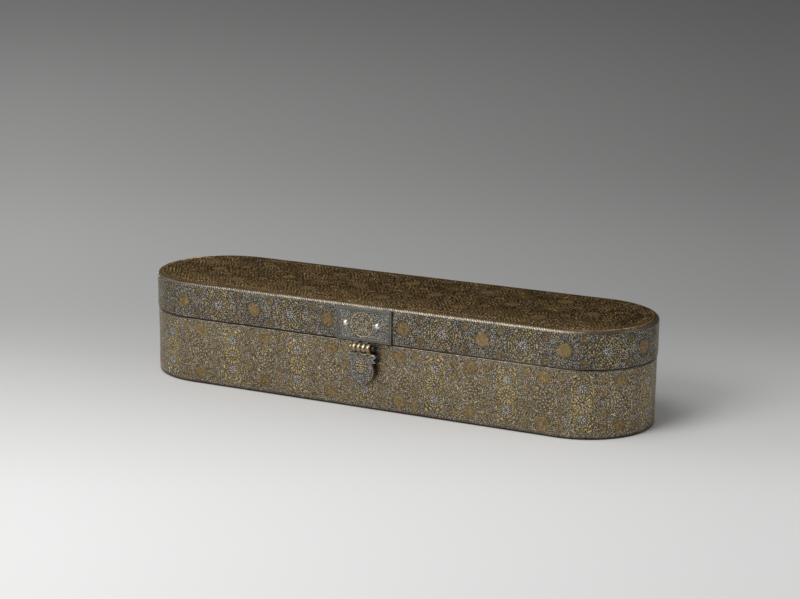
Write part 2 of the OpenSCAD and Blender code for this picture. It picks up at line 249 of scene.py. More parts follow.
def speck_group():
    """Inlay too fine to model: dark, silver and gold specks scattered over a ground colour."""
    name = "Fine inlay"
    if name in bpy.data.node_groups:
        return bpy.data.node_groups[name]
    group, inside, outside = new_group(
        name,
        {
            "Ground": (0.2, 0.16, 0.1, 1),
            "Dark": (0.03, 0.03, 0.03, 1),
            "Silver": (0.5, 0.5, 0.5, 1),
            "Gold": (0.5, 0.35, 0.15, 1),
            "Dark up to": 0.3,
            "Silver up to": 0.6,
            "Gold up to": 0.8,
            "Scale": 1100.0,
        },
        ("Color",),
    )
    place = add_node(group, "ShaderNodeTexCoord"), "Object"
    bend = add_node(group, "ShaderNodeTexNoise", {"Vector": place, "Scale": 420.0, "Detail": 1.0})
    bent = add_node(
        group, "ShaderNodeVectorMath", {0: (bend, "Color"), 1: (1.2 * MM,) * 3, 2: place},
        operation="MULTIPLY_ADD")
    cells = add_node(
        group, "ShaderNodeTexVoronoi", {"Vector": (bent, "Vector"), "Scale": (inside, "Scale")})
    speck = remap(group, (cells, "Distance"), 0.5, 0.32)
    draw = add_node(group, "ShaderNodeSeparateColor", {"Color": (cells, "Color")}), "Red"
    colour = inside, "Ground"
    for kind in ("Gold", "Silver", "Dark"):
        chosen = calculate(group, "LESS_THAN", draw, (inside, kind + " up to"))
        colour = mix_colours(group, chosen, colour, (inside, kind))
    laid = mix_colours(group, speck, (inside, "Ground"), colour)
    set_inputs(group, outside, {"Color": laid})
    return group


def shade(colour, factor):
    return tuple(channel * factor for channel in colour)


def metal(
        name, base, tarnish, amount, smooth, rough, metallic=1.0, cloud=60.0, bump=0.05, rubbed=None,
        edge_tint=NO_TINT):
    """A metal whose colour, gloss and surface come from the aged metal group; its bump is in millimetres."""
    if name in bpy.data.materials:
        return bpy.data.materials[name]
    material = bpy.data.materials.new(name)
    material.use_nodes = True
    tree = material.node_tree
    wear = add_node(tree, "ShaderNodeAttribute", attribute_name="wear")
    values = {
        "Metal": (*base, 1.0),
        "Tarnish": (*shade(base, tarnish), 1.0),
        "Rubbed": (*(rubbed or [0.5 * channel + 0.2 for channel in base]), 1.0),
        "Tarnish amount": amount,
        "Wear": (wear, "Fac"),
        "Cloud scale": cloud,
        "Smooth": smooth,
        "Rough": rough,
    }
    aged = add_node(tree, "ShaderNodeGroup", values, node_tree=aged_metal_group(), name="Aged metal")
    relief = add_node(
        tree, "ShaderNodeBump", {"Strength": 1.0, "Distance": bump * MM, "Height": (aged, "Height")})
    set_inputs(tree, tree.nodes["Principled BSDF"], {
        "Base Color": (aged, "Color"),
        "Metallic": metallic,
        "Roughness": (aged, "Roughness"),
        "Specular Tint": (*edge_tint, 1.0),
        "Normal": (relief, "Normal"),
    })
    return material


def feed_metal(material, source):
    """Lets a (node, output) pair give an aged metal its colour."""
    set_inputs(material.node_tree, material.node_tree.nodes["Aged metal"], {"Metal": source})


def inlaid_metal(
        name, ground, gold_colour=None, dark=0.3, silver=0.0, gold=0.2, cloud=60.0, amount=0.4,
        edge_tint=NO_TINT):
    """A ground with fine specks; dark, silver and gold are their shares of it."""
    if name in bpy.data.materials:
        return bpy.data.materials[name]
    material = metal(
        name, ground, tarnish=0.4, amount=amount, smooth=0.36, rough=0.52, metallic=0.95, cloud=cloud,
        bump=0.06, rubbed=shade(ground, 2.2), edge_tint=edge_tint)
    values = {
        "Ground": (*ground, 1.0),
        "Dark": (*shade(colours().lid_ground, 0.25), 1.0),
        "Silver": (*colours().silver, 1.0),
        "Gold": (*(gold_colour or colours().gold), 1.0),
        "Dark up to": dark,
        "Silver up to": dark + silver,
        "Gold up to": dark + silver + gold,
    }
    specks = add_node(material.node_tree, "ShaderNodeGroup", values, node_tree=speck_group())
    feed_metal(material, (specks, "Color"))
    return material


def lid_ground_metal():
    return inlaid_metal("Lid ground", colours().lid_ground, dark=0.34, silver=0.22, gold=0.12)


def body_ground_metal():
    return inlaid_metal("Body ground", colours().body_ground, dark=0.28, silver=0.16, gold=0.18)


def medallion_ground_metal():
    ground = shade(colours().lid_ground, 1.05)
    return inlaid_metal("Medallion ground", ground, dark=0.28, silver=0.14, gold=0.24)


def hasp_panel_metal():
    return inlaid_metal("Hasp panel", shade(colours().hasp, 0.75), dark=0.4, silver=0.25, gold=0.08)


def roundel_metal():
    return inlaid_metal("Roundel gold", colours().roundel, dark=0.42, gold=0.26, cloud=500.0, amount=0.5)


def top_ground_metal():
    return inlaid_metal(
        "Top ground", colours().top_ground, colours().top_gold, dark=0.34, gold=0.32, cloud=110.0,
        amount=0.8, edge_tint=(0.72, 0.62, 0.48))


def top_roundel_metal():
    return inlaid_metal(
        "Top roundel gold", shade(colours().top_gold, 0.45), colours().top_gold, dark=0.25, gold=0.25,
        cloud=200.0, amount=0.6, edge_tint=(0.8, 0.68, 0.52))


def top_gold_metal():
    return metal(
        "Top gold inlay", colours().top_gold, tarnish=0.2, amount=0.85, smooth=0.34, rough=0.5, cloud=110.0,
        bump=0.03, rubbed=(1.0, 0.74, 0.4), edge_tint=(0.9, 0.78, 0.62))


def gold_metal():
    return metal(
        "Gold inlay", colours().gold, tarnish=0.45, amount=0.4, smooth=0.3, rough=0.48,
        rubbed=shade(colours().gold, 1.75), **STUD_METAL)


def silver_metal():
    return metal(
        "Silver inlay", colours().silver, tarnish=0.4, amount=0.45, smooth=0.3, rough=0.48,
        rubbed=shade(colours().silver, 1.75), **STUD_METAL)


def star_metal():
    return metal(
        "Star silver", colours().star, tarnish=0.4, amount=0.4, smooth=0.28, rough=0.44, **STUD_METAL)


def rope_metal():
    return metal(
        "Rope", colours().rope, tarnish=0.4, amount=0.45, smooth=0.28, rough=0.45,
        rubbed=shade(colours().rope, 1.5), edge_tint=(1.0, 0.88, 0.68), **STUD_METAL)


# A darker copy of the lid's ground for the rounded edge of the top: painted shade that dims the lamps'
# highlight between the strokes. Its rubbed colour carries the painted sheen along the front.
def edge_shade_metal():
    return metal(
        "Dark edge", shade(colours().lid_ground, 0.7), tarnish=0.5, amount=0.5, smooth=0.38, rough=0.55,
        rubbed=shade(colours().rope, 0.5), edge_tint=(0.78, 0.63, 0.42))


def rivet_metal():
    return metal(
        "Bright rivets", colours().rivet, tarnish=0.5, amount=0.25, smooth=0.24, rough=0.36, cloud=300.0,
        bump=0.03)


def brass_metal():
    return metal(
        "Rubbed brass", colours().brass, tarnish=0.3, amount=0.5, smooth=0.18, rough=0.38, cloud=180.0,
        bump=0.04)


def lining_metal():
    return metal(
        "Aged brass lining", colours().lining, tarnish=0.4, amount=0.5, smooth=0.36, rough=0.58, cloud=45.0,
        bump=0.06)


def hasp_metal():
    return metal(
        "Grey hasp metal", colours().hasp, tarnish=0.5, amount=0.5, smooth=0.28, rough=0.46, metallic=0.95,
        cloud=150.0)


# Painted shade: a dark metal for places where shade falls.
def painted_shade_metal(name="Painted shade"):
    return metal(name, colours().base, tarnish=0.5, amount=0.5, smooth=0.4, rough=0.6, metallic=0.9)


def seam_shade_metal():
    """Painted shade along the seam, which lightens from the middle to the right."""
    name = "Painted seam shade"
    if name in bpy.data.materials:
        return bpy.data.materials[name]
    darkest_x, lightest_x = -20 * MM, 70 * MM
    darkest, lightest = ((*shade(colours().base, share), 1.0) for share in (1.4, 4.0))
    material = painted_shade_metal(name)
    tree = material.node_tree
    place = add_node(tree, "ShaderNodeTexCoord")
    along = add_node(tree, "ShaderNodeSeparateXYZ", {"Vector": (place, "Object")})
    lightening = remap(tree, (along, "X"), darkest_x, lightest_x)
    feed_metal(material, mix_colours(tree, lightening, darkest, lightest))
    return material


# Mesh tools.

def piece(name, bm, body, materials, replaced=(), sharp=SHELL_CREASE):
    """Makes a mesh object of a bmesh, with its shading and body, and hides the nodes it stands for."""
    mesh = bpy.data.meshes.new(name)
    bm.to_mesh(mesh)
    bm.free()
    for material in materials:
        mesh.materials.append(material)
    mesh.shade_smooth()
    mesh.set_sharp_from_angle(angle=sharp)
    obj = bpy.data.objects.new(name, mesh)
    bpy.context.scene.collection.objects.link(obj)
    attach(obj, body)
    if replaced:
        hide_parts(*replaced)


def arc(centre, radius, start, end, steps=5):
    """Points of a rounded corner, from one angle to another in degrees."""
    turns = [math.radians(start + (end - start) * i / steps) for i in range(steps + 1)]
    return [(centre[0] + radius * math.cos(t), centre[1] + radius * math.sin(t)) for t in turns]


def verts_in(geometry):
    return [item for item in geometry if isinstance(item, bmesh.types.BMVert)]


def edges_in(geometry):
    return [item for item in geometry if isinstance(item, bmesh.types.BMEdge)]


def chain(bm, points, closed=False):
    """Lays points out as a chain of edges, and returns its vertices and edges together."""
    verts = [bm.verts.new(point) for point in points]
    ends = verts[1:] + verts[:1] if closed else verts[1:]
    return verts + [bm.edges.new(pair) for pair in zip(verts, ends)]


def close_mesh(bm):
    """Merges doubles and turns all faces outward."""
    bmesh.ops.remove_doubles(bm, verts=bm.verts, dist=MERGE)
    bmesh.ops.recalc_face_normals(bm, faces=bm.faces)
    return bm


def oval_sweep(profile, closed=True, steps=56):
    """Carries a section of (distance from the middle line, height) round the long oval."""
    bm = bmesh.new()
    section = chain(bm, [(HALF, -r, z) for r, z in profile], closed)
    for x in (HALF, -HALF):
        turned = bmesh.ops.spin(bm, geom=section, cent=(x, 0, 0), axis=(0, 0, 1), angle=math.pi, steps=steps)
        pushed = bmesh.ops.extrude_edge_only(bm, edges=edges_in(turned["geom_last"]))["geom"]
        along = verts_in(pushed)
        bmesh.ops.translate(bm, verts=along, vec=(-2 * x, 0, 0))
        section = along + [e for e in edges_in(pushed) if set(e.verts) <= set(along)]
    bmesh.ops.remove_doubles(bm, verts=bm.verts, dist=MERGE)
    if not closed:
        bmesh.ops.holes_fill(bm, edges=[e for e in bm.edges if e.is_boundary], sides=0)
    return close_mesh(bm)


def turned(profile, closed=False, steps=28):
    """Turns a section of (radius, height) round the Z axis; a closed section leaves a bore."""
    bm = bmesh.new()
    section = chain(bm, [(r, 0, z) for r, z in profile], closed)
    bmesh.ops.spin(bm, geom=section, cent=(0, 0, 0), axis=(0, 0, 1), angle=TURN, steps=steps, use_merge=True)
    return close_mesh(bm)


def moved(bm, place):
    """Moves a whole bmesh, and keeps its faces outward where the move mirrors it."""
    bmesh.ops.transform(bm, matrix=place, verts=bm.verts)
    if place.determinant() < 0:
        bmesh.ops.reverse_faces(bm, faces=bm.faces)
    return bm


def quarter_turn(bm, axis):
    return moved(bm, Matrix.Rotation(math.pi / 2, 4, axis))


def append(target, source, place=Matrix.Identity(4)):
    """Adds one bmesh to another at a place, and frees it."""
    carrier = bpy.data.meshes.new("carrier")
    moved(source, place).to_mesh(carrier)
    source.free()
    target.from_mesh(carrier)
    bpy.data.meshes.remove(carrier)


def rounded_box(low, high, edge):
    """A block between two corners with softened edges."""
    bm = bmesh.new()
    low, high = Vector(low), Vector(high)
    place = Matrix.Translation((low + high) / 2) @ Matrix.Diagonal((*(high - low), 1))
    bmesh.ops.create_cube(bm, size=1, matrix=place)
    bmesh.ops.bevel(bm, geom=bm.edges[:], offset=edge, segments=2, profile=0.5, affect="EDGES", material=-1)
    return bm


def mark_wear(bm, test):
    """Marks the vertices that hands have rubbed bright."""
    layer = bm.verts.layers.float.new("wear")
    for v in bm.verts:
        v[layer] = float(test(v.co))


def paint(bm, choose):
    """Gives each face the number of the material that is chosen for it."""
    for face in bm.faces:
        face.material_index = choose(face)


def off_middle(x, y):
    """How far a point is from the box's middle line, seen from above."""
    return math.hypot(max(abs(x) - HALF, 0), y)


def line_inside(bm, radius, in_seam_shade):
    """Gives faces inside a radius the second material, and those at a height that takes painted seam shade
    the third.
    """

    def choose(face):
        middle = face.calc_center_median()
        return 2 if in_seam_shade(middle.z) else int(off_middle(middle.x, middle.y) < radius)

    paint(bm, choose)


# Inlay. It is laid out flat (x along the wall, y up, z outward) and then put on its wall.

class Inlay:
    """Gold and silver studs of one stretch of wall."""

    batch = 120  # studs that are made together
    grid = 3 * MM  # squares that the taken places are sorted into
    stud_sides = 6
    stud_top = 0.78  # a stud's flat top, as a share of its foot
    lean_limit = 1.5  # furthest lean, in usual leans
    row_share = 0.87  # height of a row of small studs, as a share of their pitch
    stray = 0.3  # how far a small stud is from its place, as a share of its step
    spread = (0.8, 1.15)  # smallest and largest small stud, as shares of the usual one
    stroke_long, stroke_wide = 1.4, 0.8  # a silver stroke, as shares of a dot
    swirl_turn, swirl_stray = math.radians(55), 0.4
    ladder_step = 0.95 * MM
    ground_step, ground_sides = 1.3 * MM, 36
    disc_sides, disc_sink, disc_shine = 18, 0.2, 0.45
    # Rings of a roundel's disc, inward: a width as a share of its radius, a rise as a share of the depth.
    disc_steps = ((0.04, 0.6), (0.1, 0), (0.04, -0.18), (0.12, 0), (0.3, 0), (0.2, 0))

    def __init__(self, seed, relief=1.0, worn=lambda x, y: 1.0):
        self.luck = random.Random(seed)
        self.depth = relief * sizes().inlay_depth
        self.worn = worn
        self.studs = {"gold": [], "silver": [], "roundel": [], "star": []}
        self.discs = []
        self.grounds = []
        self.gilded = []
        self.centres = []
        self.taken = {}

    def square(self, x, y):
        return math.floor(x / self.grid), math.floor(y / self.grid)

    def keep(self, x, y, radius):
        """Keeps the small studs out of a circle."""
        reach = radius + MM
        first, last = self.square(x - reach, y - reach), self.square(x + reach, y + reach)
        for i in range(first[0], last[0] + 1):
            for j in range(first[1], last[1] + 1):
                self.taken.setdefault((i, j), []).append((x, y, radius))

    def is_clear(self, x, y, radius):
        near = self.taken.get(self.square(x, y), ())
        return all((x - a) ** 2 + (y - b) ** 2 > (r + radius) ** 2 for a, b, r in near)

    def stud(self, kind, x, y, long, wide, turn=0.0, kept=True):
        """One stud: a low cone with a flat top, stretched into a dot, a dash or a petal."""
        lean = sizes().stud_lean * min(1.0, MM / long)
        limit = self.lean_limit * lean
        tilts = [max(-limit, min(limit, self.luck.gauss(0, lean))) for _ in "xy"]
        self.studs[kind].append(
            Matrix.Translation((x, y, 0))
            @ Matrix.Rotation(tilts[0], 4, "X")
            @ Matrix.Rotation(tilts[1], 4, "Y")
            @ Matrix.Rotation(turn, 4, "Z")
            @ Matrix.Diagonal((long / 2, wide / 2, 1, 1))
        )
        if kept:
            for along in (-0.3 * long, 0, 0.3 * long):
                self.keep(x + along * math.cos(turn), y + along * math.sin(turn), wide / 2)

    def dots(self, kind, x, y, ring, turns, radius):
        """Dots on a circle."""
        for turn in turns:
            self.stud(kind, x + ring * math.cos(turn), y + ring * math.sin(turn), 2 * radius, 2 * radius)

    def rings(self, kind, x, y, rows):
        """Rings of dots; each row gives a ring's radius in mm, its dots, their start and radius in mm."""
        for ring, count, start, radius in rows:
            self.dots(kind, x, y, ring * MM, circle(count, start), radius * MM)

    def dashes(self, kind, x, y, ring, turns, long, wide, lie=math.pi / 2):
        """Dashes on a circle: across its radius, or along it where lie is 0."""
        for turn in turns:
            self.stud(kind, x + ring * math.cos(turn), y + ring * math.sin(turn), long, wide, turn + lie)

    def petals(self, kind, x, y, radius, ring, turns, long, wide):
        """Dashes along the radius of a flower; ring, long and wide are shares of it."""
        self.dashes(kind, x, y, ring * radius, turns, long * radius, wide * radius, lie=0.0)

    def ladder(self, x, y, count):
        """A short row of upright gold strokes."""
        for i in range(count):
            along = (i - (count - 1) / 2) * self.ladder_step
            self.stud("gold", x + along, y, long=1.6 * MM, wide=0.5 * MM, turn=math.pi / 2)

    def roundel(self, x, y, radius, petals):
        """A dull gold disc with a flower raised on it and petals round its edge."""
        rim = 0.8 * radius
        self.discs.append((x, y, rim))
        petal_w = 0.6 * TURN * 0.5 / petals
        self.petals("roundel", x, y, rim, ring=0.5, turns=circle(petals, 0.5), long=0.4, wide=petal_w)
        self.petals("roundel", x, y, radius, ring=0.9, turns=circle(2 * petals), long=0.24, wide=0.2)
        self.keep(x, y, radius)
        self.centres.append((x, y, radius))

    def flower(self, x, y, radius, petals):
        """A small disc made of two rings of dull gold petals."""
        self.petals("roundel", x, y, radius, ring=0.72, turns=circle(2 * petals), long=0.5, wide=0.36)
        self.petals("roundel", x, y, radius, ring=0.26, turns=circle(petals), long=0.4, wide=0.26)
        self.keep(x, y, 0.9 * radius)
        self.centres.append((x, y, radius))

    def star(self, kind, x, y, radius):
        """A flower of six slender petals with dots between and beyond them."""
        self.petals(kind, x, y, radius, ring=0.5, turns=circle(6, 0.5), long=0.62, wide=0.2)
        self.dots(kind, x, y, ring=0.66 * radius, turns=circle(6), radius=0.1 * radius)
        self.dots(kind, x, y, ring=0.98 * radius, turns=circle(12, 0.5), radius=0.09 * radius)
        self.centres.append((x, y, radius))

    def ground(self, x, y, radius, lift):
        """A dark disc under a medallion."""
        self.grounds.append((x, y, radius, lift))

    def gild(self, x, y, radius):
        """Makes the small studs inside a circle gold."""
        self.gilded.append((x, y, radius))

    def is_gilded(self, x, y):
        return any((x - a) ** 2 + (y - b) ** 2 < r * r for a, b, r in self.gilded)

    def fill(self, low, high, gold_share, inside=None, coarse=1.0):
        """Fills what is left of a field with small studs: gold dots, and silver strokes that swirl."""
        pitch, radius = coarse * sizes().dot_pitch, coarse * sizes().dot_radius
        columns = max(1, round((high[0] - low[0]) / pitch))
        rows = max(1, round((high[1] - low[1]) / (pitch * self.row_share)))
        step = Vector(((high[0] - low[0]) / columns, (high[1] - low[1]) / rows))
        for row in range(rows):
            for column in range(columns):
                offset = 0.25 if row % 2 else 0.75
                x = low[0] + (column + offset + self.luck.uniform(-self.stray, self.stray)) * step.x
                y = low[1] + (row + 0.5 + self.luck.uniform(-self.stray, self.stray)) * step.y
                chance = self.luck.random()
                size = self.luck.uniform(*self.spread) * 2 * radius
                golden = self.luck.random() < gold_share or self.is_gilded(x, y)
                if chance < sizes().lost_share or not self.is_clear(x, y, 0.8 * radius):
                    continue
                if inside and not inside(x, y):
                    continue
                if golden:
                    self.stud("gold", x, y, size, size, kept=False)
                else:
                    self.stud(
                        "silver", x, y, self.stroke_long * size, self.stroke_wide * size, self.swirl(x, y),
                        kept=False)

    def swirl(self, x, y):
        """The way a silver stroke lies: in a spiral round the nearest ornament."""
        a, b, _ = min(self.centres, key=lambda kept: (x - kept[0]) ** 2 + (y - kept[1]) ** 2)
        return math.atan2(y - b, x - a) + self.swirl_turn + self.luck.gauss(0, self.swirl_stray)

    def clear(self, low, high, margin):
        """Takes out the studs that lie over an opening."""
        for kind, studs in self.studs.items():
            self.studs[kind] = [
                matrix for matrix in studs
                if not (low.x - margin < matrix.translation.x < high.x + margin
                        and low.y - margin < matrix.translation.y < high.y + margin)]

    def build(self, kind, place):
        """Makes the inlay of one metal on its wall; gold takes the roundels, and silver the stars."""
        whole = bmesh.new()
        self.hammer(kind, whole)
        if kind == "silver":
            self.hammer("star", whole, 1)
        if kind == "gold":
            self.hammer("roundel", whole, 1)
            for x, y, radius in self.discs:
                steps = [(share * radius, lift * self.depth) for share, lift in self.disc_steps]
                spot = (x, y, -self.disc_sink * self.depth)
                shine = self.disc_shine * self.luck.random()
                append(whole, disc(spot, radius, steps, self.disc_sides, 1, shine))
            for x, y, radius, lift in self.grounds:
                steps = [(self.ground_step, 0)] * int(radius / self.ground_step - 0.5)
                append(whole, disc((x, y, lift), radius, steps, self.ground_sides, 2, 0.0))
        for v in whole.verts:
            v.co = place(v.co)
        return whole

    def hammer(self, kind, whole, material=0):
        """Makes the studs of one kind, a batch at a time, each worn in its own way."""
        studs = self.studs[kind]
        for first in range(0, len(studs), self.batch):
            bm = bmesh.new()
            wear = bm.verts.layers.float.new("wear")
            for matrix in studs[first:first + self.batch]:
                made = bmesh.ops.create_cone(
                    bm, cap_ends=True, cap_tris=False, segments=self.stud_sides, radius1=1.0,
                    radius2=self.stud_top, depth=self.depth, matrix=matrix)
                brightness = self.luck.random() * self.worn(matrix.translation.x, matrix.translation.y)
                for v in made["verts"]:
                    v[wear] = brightness
            hidden = [f for f in bm.faces if f.normal.z < -0.9]
            bmesh.ops.delete(bm, geom=hidden, context="FACES_ONLY")
            paint(bm, lambda face: material)
            append(whole, bm)


def disc(place, radius, steps, sides, material, brightness):
    """A disc facing +Z, made of rings: each step goes inward and up by two lengths."""
    bm = bmesh.new()
    spot = Matrix.Translation(place)
    bmesh.ops.create_circle(bm, cap_ends=True, segments=sides, radius=radius, matrix=spot)
    face = bm.faces[:][0]
    if face.normal.z < 0:
        face.normal_flip()
    for width, rise in steps:
        bmesh.ops.inset_region(
            bm, faces=[face], thickness=width, depth=rise, use_even_offset=True, use_boundary=True)
    paint(bm, lambda face: material)
    mark_wear(bm, lambda co: brightness)
    return bm


def circle(count, start=0.0):
    """Angles evenly spread round a circle; the start is counted in steps."""
    return [TURN * (i + start) / count for i in range(count)]


# Places on the walls and on the lid's top.

def around(s, z, radius, out):
    """A point of the wall: s along it from the middle of the front, z up, out from its face."""
    end = math.pi * radius
    side = 1 if s >= 0 else -1
    run = abs(s)
    reach = radius + out
    if run <= HALF:
        return Vector((s, -reach, z))
    if run <= HALF + end:
        turn = (run - HALF) / radius
        return Vector((side * (HALF + reach * math.sin(turn)), -reach * math.cos(turn), z))
    return Vector((side * (2 * HALF + end - run), reach, z))


def run_round(radius):
    """Length of the long oval at a distance from its middle line."""
    return 4 * HALF + TURN * radius


def wall_place(shift, lift, radius):
    """Where a field's flat points go on the wall, once moved along and up it."""
    return lambda co: around(co.x + shift, co.y + lift, radius, co.z)


def face_place(face, lift):
    """Where a field's flat points go on an upright face at the front, once moved up it."""
    return lambda co: Vector((co.x, face - co.z, lift + co.y))


def crown_slope():
    """How steeply the lid's top falls where its rounded edge begins."""
    return math.atan(2 * sizes().crown_drop / sizes().crown_width)


def edge_centre():
    """Middle of the arc that rounds the lid's edge: its distance from the middle line, and its height."""
    size = sizes()
    high = TOP_Z - size.top_inset - size.crown_drop - size.top_edge * math.cos(crown_slope())
    return LID_R - size.shell_inset - size.top_edge, high


def crown_height(run):
    """Height of the lid's top at a distance from the middle line."""
    size = sizes()
    start = edge_centre()[0] + size.top_edge * math.sin(crown_slope()) - size.crown_width
    fall = max(0, run - start) / size.crown_width
    return TOP_Z - size.top_inset - size.crown_drop * fall ** 2


def front_sheen(x, y):
    """Painted sheen on the lid's top, which stands for the lamps' reflection: none at the back, and most
    along the front.
    """
    most, depth = 1.6, 0.75 * LID_R
    return most * max(0, 1 - (y + LID_R) / depth)


def lid_place(shift, lift):
    """Where a field's flat points go on the lid's band, and on over its rounded edge."""
    outer = LID_R - sizes().shell_inset
    bend = sizes().top_edge
    centre_run, centre_z = edge_centre()

    def place(co):
        climb = co.y + lift - centre_z
        if climb <= 0:
            return around(co.x + shift, co.y + lift, outer, co.z)
        tilt = climb / bend
        run = centre_run + (bend + co.z) * math.cos(tilt)
        return around(co.x + shift, centre_z + (bend + co.z) * math.sin(tilt), outer, run - outer)

    return place


def edge_gap(x, y):
    """How far inside the lid's outline a point is."""
    return LID_R - off_middle(x, y)


def catch_slot():
    """Corners of the slot that the catch goes into, with some play round the catch."""
    play = Vector((0.5 * MM, 0, 0.5 * MM))
    low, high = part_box("hasp_catch")
    return low - play, high + play


# The ornament.

ROPE_LEAN = math.radians(128)  # how the strokes of the lid's edge lie, from the way that the edge runs
STAR_R = 3.0 * MM
MEDALLION_R = 8.6 * MM
# Rings of dots: radius of the ring in mm, number of dots, their start in steps, radius of a dot in mm.
MEDALLION_RINGS = ((3.9, 13, 0.5, 0.37), (5.2, 17, 0.0, 0.42), (6.5, 21, 0.5, 0.42))
BODY_RINGS = ((5.2, 12, 0.5, 0.46), (3.6, 9, 0.0, 0.5))
# The column of roundels on the body: where its parts are from its middle, and their radii.
ROUNDEL_Y, ROUNDEL_R = 12.2 * MM, 3.8 * MM
LADDER_X, LADDER_Y = 5.8 * MM, 11.4 * MM
FLOWER_X, FLOWER_LEVELS, FLOWER_R = 9.6 * MM, (5.6 * MM, 13.6 * MM), 2.3 * MM
DASH_RING = 7.2 * MM


def medallion(inlay, x, y, star_kind):
    """A star in rings of gold dots inside six dashes."""
    rim = 8.0 * MM
    inlay.star(star_kind, x, y, STAR_R)
    inlay.gild(x, y, MEDALLION_R)
    inlay.rings("gold", x, y, MEDALLION_RINGS)
    inlay.dashes("gold", x, y, rim, circle(6), long=3.0 * MM, wide=0.85 * MM)
    inlay.dots("gold", x, y, rim, circle(6, 0.5), radius=0.46 * MM)


def lid_cell(inlay, pitch, high):
    """One repeat of the lid's side: a medallion, strokes and flowers, and a roundel on the right."""
    half, roundel_r = pitch / 2, 4.5 * MM
    brace_x, brace_y, brace_lean = 10.2 * MM, 2.3 * MM, -0.7
    ladder_gap, flower_gap, flower_y = 8.2 * MM, 10.2 * MM, 6.1 * MM
    medallion(inlay, 0, 0, "star")
    inlay.ground(0, 0, MEDALLION_R, lift=0.02 * MM)
    for hand in HANDS:
        for level in (-1, 0, 1):
            lean = level * hand * brace_lean
            inlay.stud("gold", hand * brace_x, level * brace_y, long=1.8 * MM, wide=0.8 * MM, turn=lean)
    inlay.roundel(half, 0, roundel_r, petals=9)
    inlay.keep(-half, 0, roundel_r)
    for hand in HANDS:
        inlay.ladder(hand * (half - ladder_gap), 0, count=5)
        for level in HANDS:
            inlay.flower(hand * (half - flower_gap), level * flower_y, radius=2.5 * MM, petals=6)
    inlay.fill((-half, -high), (half, high), gold_share=0.17)


def body_medallions(inlay):
    """The column of two stars and a sunburst."""
    star_y, corner_x, corner_y, corner_lean = 8.3 * MM, 4.4 * MM, 14.6 * MM, -0.6
    for level in HANDS:
        y = level * star_y
        inlay.star("star", 0, y, STAR_R)
        outward = [turn for turn in circle(18) if level * math.sin(turn) > -0.45]
        inlay.dots("gold", 0, y, ring=4.0 * MM, turns=outward, radius=0.44 * MM)
        outer = [level * math.radians(turn) for turn in (-8, 38, 68, 112, 142, 188)]
        inlay.dashes("gold", 0, y, ring=5.7 * MM, turns=outer, long=2.3 * MM, wide=0.9 * MM)
        inlay.gild(0, y, 6.4 * MM)
        for hand in HANDS:
            lean = hand * level * corner_lean
            inlay.stud("gold", hand * corner_x, level * corner_y, long=2.8 * MM, wide=0.95 * MM, turn=lean)
    inlay.dashes("gold", 0, 0, ring=4.1 * MM, turns=circle(16, 0.5), long=2.3 * MM, wide=0.8 * MM, lie=0.0)
    inlay.dots("gold", 0, 0, ring=2.2 * MM, turns=circle(9), radius=0.45 * MM)
    inlay.stud("star", 0, 0, long=1.0 * MM, wide=1.0 * MM)
    inlay.gild(0, 0, 7.0 * MM)


def body_roundels(inlay, x):
    """The column of roundels above and below a ring of dashes."""
    for level in HANDS:
        inlay.roundel(x, level * ROUNDEL_Y, ROUNDEL_R, petals=9)
        for hand in HANDS:
            inlay.ladder(x + hand * LADDER_X, level * LADDER_Y, count=3)
            for y in FLOWER_LEVELS:
                inlay.flower(x + hand * FLOWER_X, level * y, FLOWER_R, petals=6)
    inlay.dashes("gold", x, 0, DASH_RING, circle(6), long=2.8 * MM, wide=0.9 * MM)
    inlay.rings("gold", x, 0, BODY_RINGS)
    inlay.dots("star", x, 0, ring=2.0 * MM, turns=circle(7), radius=0.36 * MM)
    inlay.stud("gold", x, 0, long=1.2 * MM, wide=1.2 * MM)


def keep_roundels(inlay, x):
    """Keeps the small studs off the right half of the column that the repeat before this one has drawn."""
    inlay.keep(x, 0, 5.7 * MM)
    for turn in (-math.pi / 3, 0, math.pi / 3):
        inlay.keep(x + DASH_RING * math.cos(turn), DASH_RING * math.sin(turn), 0.8 * MM)
    for level in HANDS:
        inlay.keep(x, level * ROUNDEL_Y, ROUNDEL_R)
        inlay.keep(x + LADDER_X, level * LADDER_Y, 1.4 * MM)
        for y in FLOWER_LEVELS:
            inlay.keep(x + FLOWER_X, level * y, 2.2 * MM)


def body_cell(inlay, pitch, high, with_roundels):
    """One repeat of the body's side, its medallions in the middle and its roundels on the right."""
    half = pitch / 2
    body_medallions(inlay)
    if with_roundels:
        body_roundels(inlay, half)
    keep_roundels(inlay, -half)
    inlay.fill((-half, -high), (half, high), gold_share=0.33)


def border_row(inlay, gap, pitch, long, wide, lean=0.0):
    """A row of gold dashes that follows the lid's edge at a distance inside it."""
    ring, ahead = LID_R - gap, 0.1 * MM
    run = run_round(ring)
    count = round(run / pitch)
    for i in range(count):
        s = (i / count - 0.5) * run
        spot, beyond = around(s, 0, ring, 0), around(s + ahead, 0, ring, 0)
        along = math.atan2(beyond.y - spot.y, beyond.x - spot.x)
        inlay.stud("gold", spot.x, spot.y, long, wide, along + lean)


